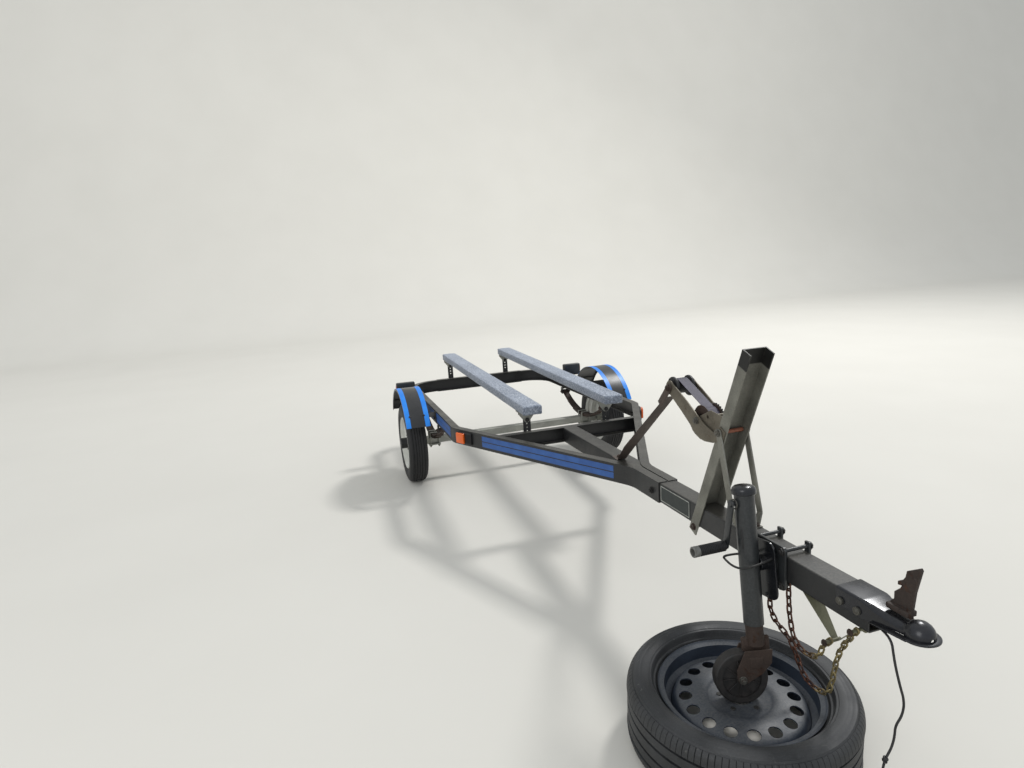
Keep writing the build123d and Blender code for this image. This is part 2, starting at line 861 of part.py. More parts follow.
# Struts from the through bolt down to the sides of the tongue
with BuildPart() as winch_struts:
    strut_width, strut_thick = strut_bar
    strut_inner = arm_outer + seat_gap
    foot_y = ahead(strut_foot_ahead)
    for x_low, x_high in side_pairs(strut_inner, strut_thick):
        middle = (x_low + x_high) / 2
        top = (middle, *on_post(*strut_top)[1:])
        foot = (middle, foot_y, strut_foot_z)
        flat_bar(top, foot, strut_thick, strut_width)
        for end in (top, foot):
            rod((x_low, *end[1:]), (x_high, *end[1:]), strut_width / 2)
        sign = 1 if x_low > 0 else -1
        inner_end = (sign * tongue_size / 2, foot_y, strut_foot_z)
        outer_end = (sign * (strut_inner + strut_thick + 8), foot_y, strut_foot_z)
        rod(inner_end, outer_end, 9)
    through_half = strut_inner + strut_thick + 8
    rod(on_post(*strut_top, -through_half), on_post(*strut_top, through_half), rod_radius)
finish(winch_struts, "winch_struts")

# Bow brace: a folded flat bar from the arms down to the top of the tongue
with BuildPart() as bow_brace:
    brace_width, brace_thick = brace_bar
    brace_low = tongue_top + brace_thick / 2
    foot_y = ahead(brace_foot_ahead)
    bend = on_post(*brace_bolt)
    drop = rod_radius + brace_thick / 2
    with BuildSketch(Plane.YZ.offset(brace_x - brace_width / 2)):
        with BuildLine() as centre_line:
            Polyline(
                (bend[1] - 6, bend[2] - drop),
                (axle_y - 1870, 696),
                (axle_y - 1755, 577),
                (foot_y - 30, brace_low),
                (foot_y + 24, brace_low),
            )
        trace(centre_line.line, line_width=brace_thick)
    extrude(amount=brace_width)
    rod((brace_x, foot_y, tongue_top), (brace_x, foot_y, tongue_top + brace_thick + 8), 9)
finish(bow_brace, "bow_brace")

# Winch: two cheeks on the back of the post, a drum, its gear and the strap
cheek_outline = [(0, 262), (0, 374), (62, 366), (116, 340), (126, 312), (112, 284), (40, 262)]
with BuildPart() as winch_frame:
    for x_low, x_high in side_pairs(cheek_x, cheek_wall):
        with BuildSketch(post_plane(x_low)):
            with BuildLine():
                Polyline(*cheek_outline, close=True)
            make_face()
        extrude(amount=cheek_wall)
    with BuildSketch(post_plane(-cheek_x)):
        with Locations((cheek_wall / 2, 318)):
            Rectangle(cheek_wall, 112)
    extrude(amount=2 * cheek_x)
    shaft_half = cheek_x + cheek_wall
    rod(on_post(*drum_at, -shaft_half), on_post(*drum_at, shaft_half), winch_shaft_radius)
    rod(on_post(*pinion_at, -shaft_half), on_post(*pinion_at, shaft_half + 26), winch_shaft_radius - 2)
finish(winch_frame, "winch_frame")

with BuildPart() as winch_drum:
    rod(on_post(*drum_at, -drum_half), on_post(*drum_at, drum_half), drum_core_radius)
    for sign in (-1, 1):
        flange = (on_post(*drum_at, sign * (drum_half - drum_flange)), on_post(*drum_at, sign * drum_half))
        rod(*flange, drum_flange_radius)
    rod(on_post(*drum_at, -drum_half), on_post(*drum_at, drum_half), winch_shaft_radius, Mode.SUBTRACT)
finish(winch_drum, "winch_drum")

with BuildPart() as winch_gear:
    gear_x = drum_half + seat_gap
    with BuildSketch(post_plane(gear_x)):
        with Locations(drum_at):
            Circle(gear_radius - gear_tooth)
            with PolarLocations(gear_radius - gear_tooth / 2, gear_teeth):
                Rectangle(gear_tooth + 2, 6)
            Circle(winch_shaft_radius, mode=Mode.SUBTRACT)
        with Locations(pinion_at):
            Circle(pinion_radius)
            Circle(winch_shaft_radius - 2, mode=Mode.SUBTRACT)
    extrude(amount=gear_thick)
finish(winch_gear, "winch_gear")

with BuildPart() as winch_strap:
    over_roller = roller_core_radius + strap_gap + strap_thick / 2
    on_coil = coil_radius - strap_thick / 2
    across, along = (roller_at[0] - drum_at[0], roller_at[1] - drum_at[1])
    leaves_at = atan2(along, across) + acos((on_coil - over_roller) / hypot(across, along))
    leave_u, leave_v = cos(leaves_at), sin(leaves_at)
    with BuildSketch(post_plane(-strap_width / 2)):
        with BuildLine() as strap_line:
            Line(
                (drum_at[0] + on_coil * leave_u, drum_at[1] + on_coil * leave_v),
                (roller_at[0] + over_roller * leave_u, roller_at[1] + over_roller * leave_v),
            )
            CenterArc(roller_at, over_roller, degrees(leaves_at), -degrees(leaves_at) - 12)
        trace(strap_line.line, line_width=strap_thick)
        with Locations(drum_at):
            Circle(coil_radius)
            Circle(drum_core_radius + seat_gap, mode=Mode.SUBTRACT)
    extrude(amount=strap_width)
finish(winch_strap, "winch_strap")

# Coupler: a pressed channel over the end of the tongue with a socket at its nose
coupler_half = tongue_size / 2 + coupler_wall
socket_y = ahead(socket_ahead)
with BuildPart() as coupler:
    top_z = tongue_top + coupler_wall
    neck_y = ahead(coupler_neck_ahead)
    rear_y = ahead(coupler_rear_ahead)
    for inset, mode in ((0, Mode.ADD), (coupler_wall, Mode.SUBTRACT)):
        half = coupler_half - inset
        below = 40 if inset else 0
        reach = 20 if inset else 0
        block((-half, half), (neck_y, rear_y + reach), (top_z - coupler_depth - below, top_z - inset), mode)
        nose_half = socket_outer - inset
        nose_top = socket_z + socket_outer
        sections = (
            (neck_y, half, top_z - inset, top_z - coupler_depth - below),
            (socket_y, nose_half, nose_top - inset, socket_z - socket_lip - below),
        )
        faces = []
        for section_y, section_half, high, low in sections:
            with BuildSketch(Plane((0, section_y, 0), (1, 0, 0), (0, -1, 0))) as section:
                with Locations((0, (high + low) / 2)):
                    Rectangle(2 * section_half, high - low)
            faces.append(section.sketch)
        loft(faces, mode=mode)
    with Locations((0, socket_y, socket_z)):
        Sphere(socket_outer)
        Sphere(socket_radius, mode=Mode.SUBTRACT)
    block((-60, 60), (socket_y - 60, neck_y), (socket_z - 60, socket_z - socket_lip), Mode.SUBTRACT)
    for distance in coupler_bolts_ahead:
        bolt = (ahead(distance), coupler_bolt_z)
        rod((-tongue_size, *bolt), (tongue_size, *bolt), rod_radius + seat_gap, Mode.SUBTRACT)
finish(coupler, "coupler")

with BuildPart() as coupler_bolts:
    for distance in coupler_bolts_ahead:
        bolt = (ahead(distance), coupler_bolt_z)
        rod((-coupler_half - 7, *bolt), (coupler_half + 7, *bolt), rod_radius)
        for sign in (-1, 1):
            rod((sign * coupler_half, *bolt), (sign * (coupler_half + 6), *bolt), 10)
finish(coupler_bolts, "coupler_bolts")

with BuildPart() as coupler_latch:
    latch_base = ahead(3022)
    lever = [
        (latch_base, 500),
        (latch_base, 522),
        (latch_base - 30, 532),
        (latch_base - 55, 630),
        (latch_base - 76, 626),
        (latch_base - 56, 520),
        (latch_base - 52, 500),
    ]
    side_plate(lever, -latch_width / 2, latch_width / 2)
finish(coupler_latch, "coupler_latch")

with BuildPart() as tongue_foot:
    with BuildSketch(Plane.YZ.offset(-foot_width / 2)):
        with BuildLine() as foot_line:
            Polyline(
                (ahead(2740), tongue_bottom - foot_bar / 2),
                (ahead(2752), tongue_bottom - foot_bar / 2),
                (ahead(2860), 300),
                (ahead(2950), tongue_bottom - foot_bar / 2),
                (ahead(2964), tongue_bottom - foot_bar / 2),
            )
        trace(foot_line.line, line_width=foot_bar)
    extrude(amount=foot_width)
finish(tongue_foot, "tongue_foot")

with BuildPart() as name_plate:
    face = -tongue_size / 2
    block((face - plate_thick, face), (ahead(plate_to_ahead), ahead(plate_from_ahead)), (432, 494))
finish(name_plate, "name_plate")

# Jack. Its own plane: local z runs up the leaning tube, from a point level with the tongue.
jack_up = Vector(0, sin(radians(jack_lean)), cos(radians(jack_lean)))
jack_origin = Vector(jack_x, ahead(jack_ahead), jack_z)


def on_jack(up, x=0.0, side_step=0.0):
    """A point up the tube's axis, moved across the trailer by x and square to both by side_step."""
    point = jack_origin + jack_up * up + Vector(x, 0, 0) + jack_up.cross(Vector(1, 0, 0)) * side_step
    return tuple(point)


with BuildPart() as jack_tube:
    rod(on_jack(-jack_tube_down), on_jack(jack_tube_up), jack_tube_radius)
    rod(on_jack(jack_tube_up - 4), on_jack(jack_tube_up - 4 + jack_cap_height), jack_cap_radius)
    fillet(jack_tube.faces().sort_by(Axis(on_jack(0), tuple(jack_up)))[-1].edges(), 5)
    bore_radius = jack_tube_radius - jack_tube_wall
    rod(on_jack(-jack_tube_down - 1), on_jack(jack_tube_up - 2), bore_radius, Mode.SUBTRACT)
finish(jack_tube, "jack_tube")

with BuildPart() as jack_crank:
    shaft_start = -jack_tube_radius / 2
    shaft_end = -crank_arm_out - crank_arm[1]
    rod(on_jack(crank_up, shaft_start), on_jack(crank_up, shaft_end), crank_shaft_radius)
    arm_middle = -crank_arm_out - crank_arm[1] / 2
    arm_top = on_jack(crank_up + 10, arm_middle)
    arm_low = on_jack(crank_up - crank_reach - 10, arm_middle)
    flat_bar(arm_top, arm_low, crank_arm[1], crank_arm[0])
    pin_start = on_jack(crank_up - crank_reach, -crank_arm_out)
    pin_end = on_jack(crank_up - crank_reach, -crank_arm_out - crank_arm[1] - grip_length)
    rod(pin_start, pin_end, 5)
    rod(on_jack(-jack_tube_down), on_jack(jack_tube_up), jack_tube_radius, Mode.SUBTRACT)
finish(jack_crank, "jack_crank")

with BuildPart() as jack_grip:
    grip_in = -crank_arm_out - crank_arm[1] - seat_gap
    grip_height = crank_up - crank_reach
    rod(on_jack(grip_height, grip_in), on_jack(grip_height, grip_in - grip_length + 3), grip_radius)
    rod(on_jack(grip_height, grip_in), on_jack(grip_height, grip_in - grip_length), 5, Mode.SUBTRACT)
finish(jack_grip, "jack_grip")

# Jack bracket: bars bolted over and under the tongue hold a plate with a swivel disc
with BuildPart() as jack_bracket:
    middle_y = ahead(jack_ahead) - 8
    plate_in = -tongue_size / 2
    plate_out = plate_in - bracket_wall
    bar_width, bar_thick = clamp_bar
    block(
        (plate_out, plate_in),
        (middle_y - bracket_half, middle_y + bracket_half),
        (tongue_bottom - bar_thick, tongue_top + bar_thick),
    )
    for step in (-1, 1):
        bar_y = middle_y + step * (bracket_half - bar_width / 2)
        ys = (bar_y - bar_width / 2, bar_y + bar_width / 2)
        for low in (tongue_bottom - bar_thick, tongue_top):
            block((plate_out - 4, clamp_reach), ys, (low, low + bar_thick))
        bolt_x = tongue_size / 2 + clamp_bolt_radius + 2
        bolt_low = tongue_bottom - bar_thick - 10
        rod((bolt_x, bar_y, bolt_low), (bolt_x, bar_y, tongue_top + bar_thick + 10), clamp_bolt_radius)
    centre = (middle_y, (tongue_top + tongue_bottom) / 2)
    rod((plate_out, *centre), (plate_out - swivel_disc, *centre), swivel_disc_radius)
finish(jack_bracket, "jack_bracket")

with BuildPart() as jack_swivel:
    swivel_in = plate_out - swivel_disc - seat_gap
    rod((swivel_in, *centre), (swivel_in - 6, *centre), swivel_disc_radius)
    rod((swivel_in - 5, *centre), (jack_x + 10, *centre), 24)
    rod(on_jack(-jack_tube_down), on_jack(jack_tube_up), jack_tube_radius, Mode.SUBTRACT)
finish(jack_swivel, "jack_swivel")

# Leg with the caster fork under it
jack_forward = jack_up.cross(Vector(-1, 0, 0))
turn = radians(caster_turn)
trail_dir = Vector(-1, 0, 0) * cos(turn) - jack_forward * sin(turn)
axle_dir = jack_up.cross(trail_dir)
caster_centre = jack_origin - jack_up * caster_drop + trail_dir * caster_trail


def from_caster(point, out, up=0.0):
    """A point near the caster: out along its axle and up the leaning leg."""
    return tuple(point + axle_dir * out + jack_up * up)


leg_radius = jack_tube_radius - jack_tube_wall - leg_clearance
with BuildPart() as jack_leg:
    rod(on_jack(-leg_down), on_jack(leg_up), leg_radius)
    rod(on_jack(-leg_down + 8), on_jack(leg_up + 1), leg_radius - leg_wall, Mode.SUBTRACT)
finish(jack_leg, "jack_leg")

fork_inner = caster_width / 2 + fork_gap
with BuildPart() as caster_fork:
    crown_low = -leg_down - fork_crown
    rod(on_jack(crown_low), on_jack(-leg_down), leg_radius + 4)
    for sign in (-1, 1):
        start = fork_inner if sign > 0 else -fork_inner - fork_wall
        plane = Plane(jack_origin + axle_dir * start, trail_dir, axle_dir)
        with BuildSketch(plane) as side_sheet:
            with BuildLine():
                Polyline(
                    (-22, leg_down),
                    (30, leg_down),
                    (caster_trail + 14, caster_drop - 6),
                    (caster_trail + 10, caster_drop + 14),
                    (caster_trail - 10, caster_drop + 14),
                    (-22, leg_down + 26),
                    close=True,
                )
            make_face()
        extrude(side_sheet.sketch, amount=fork_wall)
    crown_plane = Plane(on_jack(crown_low), trail_dir, jack_up)
    with BuildSketch(crown_plane) as crown_sheet:
        with Locations((4, 0)):
            Rectangle(52, 2 * (fork_inner + fork_wall))
    extrude(crown_sheet.sketch, amount=fork_crown)
    pin_half = fork_inner + fork_wall + 7
    rod(from_caster(caster_centre, -pin_half), from_caster(caster_centre, pin_half), caster_pin_radius)
finish(caster_fork, "caster_fork")

with BuildPart() as caster_wheel:
    half = caster_width / 2
    rod(from_caster(caster_centre, -half), from_caster(caster_centre, half), caster_radius)
    fillet(caster_wheel.edges(), 6)
    for sign in (-1, 1):
        dish = (from_caster(caster_centre, sign * (half - 6)), from_caster(caster_centre, sign * (half + 1)))
        rod(*dish, caster_radius - 20, Mode.SUBTRACT)
        hub = (from_caster(caster_centre, sign * (half - 7)), from_caster(caster_centre, sign * (half + 4.7)))
        rod(*hub, 16)
    pin_hole = (from_caster(caster_centre, -60), from_caster(caster_centre, 60))
    rod(*pin_hole, caster_pin_radius + bearing_play, Mode.SUBTRACT)
finish(caster_wheel, "caster_wheel")

# The lying wheel is drawn where it stands on the ground, under the parked caster
lying_x, lying_y, caster_z = parked(caster_centre)
lying_plane = Plane((lying_x, lying_y, 0), (1, 0, 0), (0, -1, 0))
lying_axis = Axis((lying_x, lying_y, 0), (0, 0, 1))
mid_z = spare_tyre_width / 2
spare_half = spare_tyre_width / 2
spare_bead_x = spare_rim_width / 2 - 3
tread = spare_tyre_radius
spare_bead = spare_bead_radius + spare_steel / 2 + seat_gap
spare_outer = [
    (spare_bead_x - 10.5, spare_bead),
    (spare_bead_x - 7, spare_bead_radius + 11),
    (spare_bead_x - 3, spare_flange_radius + 4),
    (spare_half - 6, 0.78 * tread),
    (spare_half, 0.84 * tread),
    (spare_half - 5, 0.93 * tread),
    (spare_half - 20, tread - 3),
    (spare_half - 50, tread),
]
spare_inner = [
    (spare_half - 50, tread - spare_rubber),
    (spare_half - 24, tread - spare_rubber - 3),
    (spare_half - spare_rubber, 0.84 * tread),
    (spare_bead_x - 10.5 - spare_rubber, spare_bead),
]
spare_section = spare_outer + mirrored(spare_outer) + mirrored(spare_inner) + spare_inner
with BuildPart() as spare_tyre:
    with BuildSketch(lying_plane):
        with BuildLine():
            Polyline(*[(radius, mid_z + offset) for offset, radius in spare_section], close=True)
        make_face()
    revolve(axis=lying_axis)
finish(spare_tyre, "spare_tyre", on_trailer=False)

rim_top = mid_z + spare_rim_width / 2
rim_low = mid_z - spare_rim_width / 2
with BuildPart() as spare_rim:
    with BuildSketch(lying_plane):
        with BuildLine() as barrel:
            Polyline(
                (spare_flange_radius, rim_top),
                (spare_flange_radius - 3, rim_top - 3),
                (spare_bead_radius + 9, rim_top - 6),
                (spare_bead_radius, rim_top - 10),
                (spare_bead_radius - 3, mid_z + 26),
                (spare_bead_radius - 20, mid_z + 14),
                (spare_bead_radius - 20, mid_z - 20),
                (spare_bead_radius - 3, mid_z - 34),
                (spare_bead_radius, rim_low + 10),
                (spare_bead_radius + 9, rim_low + 6),
                (spare_flange_radius - 3, rim_low + 3),
                (spare_flange_radius, rim_low),
            )
        trace(barrel.line, line_width=spare_steel)
        with BuildLine() as dish:
            Polyline(
                (spare_bead_radius - 20, mid_z + 4),
                (spare_bead_radius - 36, mid_z + 10),
                (138, spare_dish_z + 6),
                (122, spare_dish_z + 12),
                (104, spare_dish_z + 10),
                (88, spare_dish_z - spare_steel / 2),
                (spare_hub_radius, spare_dish_z - spare_steel / 2),
            )
        trace(dish.line, line_width=spare_steel)
    revolve(axis=lying_axis)
    with BuildSketch(Plane((lying_x, lying_y, 0))):
        with PolarLocations(spare_hole_circle, spare_holes):
            Circle(spare_hole_radius)
        with PolarLocations(spare_lug_circle, spare_lugs):
            Circle(7)
    extrude(amount=2 * spare_dish_z, mode=Mode.SUBTRACT)
finish(spare_rim, "spare_rim", on_trailer=False)
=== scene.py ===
import json
from math import atan, atan2, cos, floor, hypot, pi, radians, sin

import bmesh
import bpy
from mathutils import Matrix, Vector, noise


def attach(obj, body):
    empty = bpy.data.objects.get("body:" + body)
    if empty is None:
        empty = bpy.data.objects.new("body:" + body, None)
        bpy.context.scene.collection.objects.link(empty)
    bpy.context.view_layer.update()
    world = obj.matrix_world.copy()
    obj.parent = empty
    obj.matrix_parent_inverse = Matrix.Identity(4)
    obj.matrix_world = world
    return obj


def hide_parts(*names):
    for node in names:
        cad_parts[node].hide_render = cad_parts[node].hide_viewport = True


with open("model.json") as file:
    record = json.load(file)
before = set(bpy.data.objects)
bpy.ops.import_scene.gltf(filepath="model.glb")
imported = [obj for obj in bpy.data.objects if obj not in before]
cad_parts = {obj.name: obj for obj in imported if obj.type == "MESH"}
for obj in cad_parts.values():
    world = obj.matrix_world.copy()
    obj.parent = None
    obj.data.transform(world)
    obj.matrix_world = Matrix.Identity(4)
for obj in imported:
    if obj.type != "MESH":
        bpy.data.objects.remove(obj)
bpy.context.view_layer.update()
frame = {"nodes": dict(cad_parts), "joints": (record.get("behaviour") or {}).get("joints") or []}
nodes = frame["nodes"]
joints = {joint["name"]: joint for joint in frame["joints"]}

# Sizes are millimetres on the level trailer: across, behind the axle, up from the ground.
# TRAILER carries them to metres, with the trailer turned nose-up about its axle as it is parked.
TYRE_RADIUS = 252.0
WHEEL_X = 676.0
AXLE = Vector(joints["left_wheel_spin"]["pos_m"])
AXLE.x = 0
NOSE_UP = radians(1.78)
MILLIMETRES = Matrix.Scale(0.001, 4)
LEVEL_AXLE = Matrix.Translation((0, 0, -TYRE_RADIUS))
TRAILER = Matrix.Translation(AXLE) @ Matrix.Rotation(-NOSE_UP, 4, "X") @ MILLIMETRES @ LEVEL_AXLE
SIDES = (("left", 1), ("right", -1))
TONGUE_TOP = 498.0
RAIL_MIDDLE = 460.0
RAIL_SIDE_X = 559.5
RAIL_SPLAY = 518.5 / 1053
SPLAY_LENGTH = hypot(1, RAIL_SPLAY)
TONGUE_HALF = 41
ACROSS, BEHIND, UPRIGHT = Vector((1, 0, 0)), Vector((0, 1, 0)), Vector((0, 0, 1))


def frame_of(origin, x_dir, y_dir, z_dir):
    """The place of a drawing with its own x, y and z directions."""
    turn = Matrix((x_dir, y_dir, z_dir)).transposed().to_4x4()
    return Matrix.Translation(origin) @ turn


POST_LEAN = radians(23.6)
POST_OUT = Vector((0, cos(POST_LEAN), sin(POST_LEAN)))
POST_UP = Vector((0, -sin(POST_LEAN), cos(POST_LEAN)))
# On the winch post: out from its back, up along it, and across the trailer
POST = frame_of((0, -2268, TONGUE_TOP), POST_OUT, POST_UP, ACROSS)
DRUM_AT = (107, 284)
ROLLER_AT = (290, 297)
THROUGH_AT = (-14, 324)
JACK_LEAN = radians(7.06)
JACK_UP = Vector((0, sin(JACK_LEAN), cos(JACK_LEAN)))
JACK_BACK = Vector((0, cos(JACK_LEAN), -sin(JACK_LEAN)))
# On the jack: across the trailer, back from the tube, and up along it
JACK = frame_of((-107.8, -2638.4, 450), ACROSS, JACK_BACK, JACK_UP)
CASTER_AT = Vector(joints["caster_spin"]["pos_m"])
CASTER_AXIS = Vector(joints["caster_spin"]["axis"])
LYING = Matrix.Translation((CASTER_AT.x, CASTER_AT.y, 0)) @ MILLIMETRES
# On the level trailer, for drawings seen from its side: behind the axle, up, and across
SIDE = frame_of((0, 0, 0), BEHIND, UPRIGHT, ACROSS)


def on_post(at, x):
    """The place on the trailer of a point of the post's drawing."""
    return POST @ Vector((*at, x))


def on_jack(x, back, up):
    """The place on the trailer of a point of the jack's drawing."""
    return JACK @ Vector((x, back, up))


# Materials


def srgb(code, alpha=1.0):
    """A hex colour as the linear values that the shaders take."""
    levels = [int(code[i : i + 2], 16) / 255 for i in (1, 3, 5)]
    return tuple(v / 12.92 if v <= 0.04045 else ((v + 0.055) / 1.055) ** 2.4 for v in levels) + (alpha,)


def live(node):
    """The first output of a node that is in use."""
    return next(output for output in node.outputs if output.enabled)


def add(tree, kind, links=None, **settings):
    """Add a node with its settings; a node given for a socket is linked by its first live output."""
    node = tree.nodes.new(kind)
    for key, value in settings.items():
        setattr(node, key, value)
    for key, value in (links or {}).items():
        if isinstance(value, bpy.types.Node):
            value = live(value)
        if isinstance(value, bpy.types.NodeSocket):
            tree.links.new(value, node.inputs[key])
        else:
            node.inputs[key].default_value = value
    return node


MIX = "ShaderNodeMix"
NOISE = "ShaderNodeTexNoise"
RANGE = "ShaderNodeMapRange"
MATHS = "ShaderNodeMath"


def begin(name, **surface):
    """A new material: its tree, its shader with plain values, and the object coordinates."""
    material = bpy.data.materials.new(name)
    material.use_nodes = True
    tree = material.node_tree
    tree.nodes.clear()
    shader = add(tree, "ShaderNodeBsdfPrincipled")
    add(tree, "ShaderNodeOutputMaterial", {"Surface": shader.outputs[0]})
    for socket, value in surface.items():
        shader.inputs[socket.replace("_", " ")].default_value = value
    return material, tree, shader, add(tree, "ShaderNodeTexCoord").outputs["Object"]


def layered(tree, colour, layers):
    """Lay colours over a colour: each by what drives it, from and to which value, its most, and its code."""
    for source, start, full, most, code in layers:
        share = add(tree, RANGE, {"Value": source, "From Min": start, "From Max": full, "To Max": most})
        colour = add(tree, MIX, {0: share, 6: colour, 7: srgb(code)}, data_type="RGBA")
    return colour


def finish_look(tree, shader, colour, rough, height, distance, strength, rounded=None):
    """Link a colour, a roughness and a bump to the shader."""
    tree.links.new(live(colour), shader.inputs["Base Color"])
    tree.links.new(rough.outputs[0], shader.inputs["Roughness"])
    bump = {"Height": height, "Distance": distance, "Strength": strength}
    if rounded:
        bump["Normal"] = rounded
    tree.links.new(add(tree, "ShaderNodeBump", bump).outputs[0], shader.inputs["Normal"])


def weathered(name, base, patch, wear, rust, rust_share, gloss, metal, grain, dust, dip=None):
    """Steel under a finish: patches of a second tone, worn edges, rust in spots, and dust on top.

    dip gives a direction, a height along it in metres and a colour that covers all above that height.
    """
    material, tree, shader, where = begin(name, Metallic=metal)
    blotch = add(tree, NOISE, {"Vector": where, "Scale": 11.0, "Detail": 4.0})
    fine = add(tree, NOISE, {"Vector": where, "Scale": 165.0, "Detail": 5.0, "Roughness": 0.7})
    colour = layered(tree, srgb(base), [(blotch, 0.38, 0.66, 1, patch), (fine, 0.3, 0.8, 0.3, wear)])
    if dip:
        direction, height, code = dip
        along = add(tree, "ShaderNodeVectorMath", {0: where, 1: direction}, operation="DOT_PRODUCT")
        colour = layered(tree, colour, [(along, height - 0.002, height + 0.002, 1, code)])
    rounded = add(tree, "ShaderNodeBevel", {"Radius": 0.0012}, samples=4)
    flat = add(tree, "ShaderNodeNewGeometry").outputs["Normal"]
    same = add(tree, "ShaderNodeVectorMath", {0: rounded, 1: flat}, operation="DOT_PRODUCT")
    turned_away = add(tree, RANGE, {"Value": same, "From Min": 0.99, "From Max": 0.86, "To Max": 0.6})
    broken = add(tree, NOISE, {"Vector": where, "Scale": 70.0, "Detail": 3.0})
    broken = add(tree, RANGE, {"Value": broken, "From Min": 0.42, "From Max": 0.62})
    share = add(tree, MATHS, {0: turned_away, 1: broken}, operation="MULTIPLY")
    colour = add(tree, MIX, {0: share, 6: colour, 7: srgb(wear)}, data_type="RGBA")
    limit = 0.74 - 0.36 * rust_share
    cloud = {"Vector": where, "Scale": 26.0, "Detail": 6.0, "Roughness": 0.68, "Distortion": 0.4}
    spots = add(tree, RANGE, {"Value": add(tree, NOISE, cloud), "From Min": limit, "From Max": limit + 0.08})
    pits = add(tree, NOISE, {"Vector": where, "Scale": 110.0, "Detail": 4.0})
    pits = add(tree, RANGE, {"Value": pits, "From Min": 0.35, "From Max": 0.65})
    brown = add(tree, MIX, {0: pits, 6: srgb(rust), 7: srgb("#2a1c16")}, data_type="RGBA")
    colour = add(tree, MIX, {0: spots, 6: colour, 7: brown}, data_type="RGBA")
    up = add(tree, "ShaderNodeSeparateXYZ", {0: flat}).outputs["Z"]
    settled = add(tree, RANGE, {"Value": up, "From Min": 0.5, "From Max": 1.0, "To Max": dust})
    ragged = add(tree, RANGE, {"Value": fine, "From Min": 0.25, "From Max": 0.7})
    share = add(tree, MATHS, {0: settled, 1: ragged}, operation="MULTIPLY")
    colour = add(tree, MIX, {0: share, 6: colour, 7: srgb("#8d8778")}, data_type="RGBA")
    shine = {"Value": blotch, "From Min": 0.3, "From Max": 0.7, "To Min": gloss[0], "To Max": gloss[1]}
    dull = add(tree, MATHS, {0: spots, 1: 0.3}, operation="MULTIPLY")
    rough = add(tree, MATHS, {0: add(tree, RANGE, shine), 1: dull}, operation="ADD")
    skin = add(tree, NOISE, {"Vector": where, "Scale": 1000 / grain[0], "Detail": 3.0})
    raised = add(tree, MATHS, {0: spots, 1: 2.0}, operation="ADD")
    height = add(tree, MATHS, {0: skin, 1: raised}, operation="MULTIPLY")
    finish_look(tree, shader, colour, rough, height, 0.0004, grain[1], rounded)
    return material


# The winch post's top is painted dark down to this height along the post
DIP_AT = (0, 565)
DIP_HEIGHT = POST_UP.dot(TRAILER @ on_post(DIP_AT, 0))

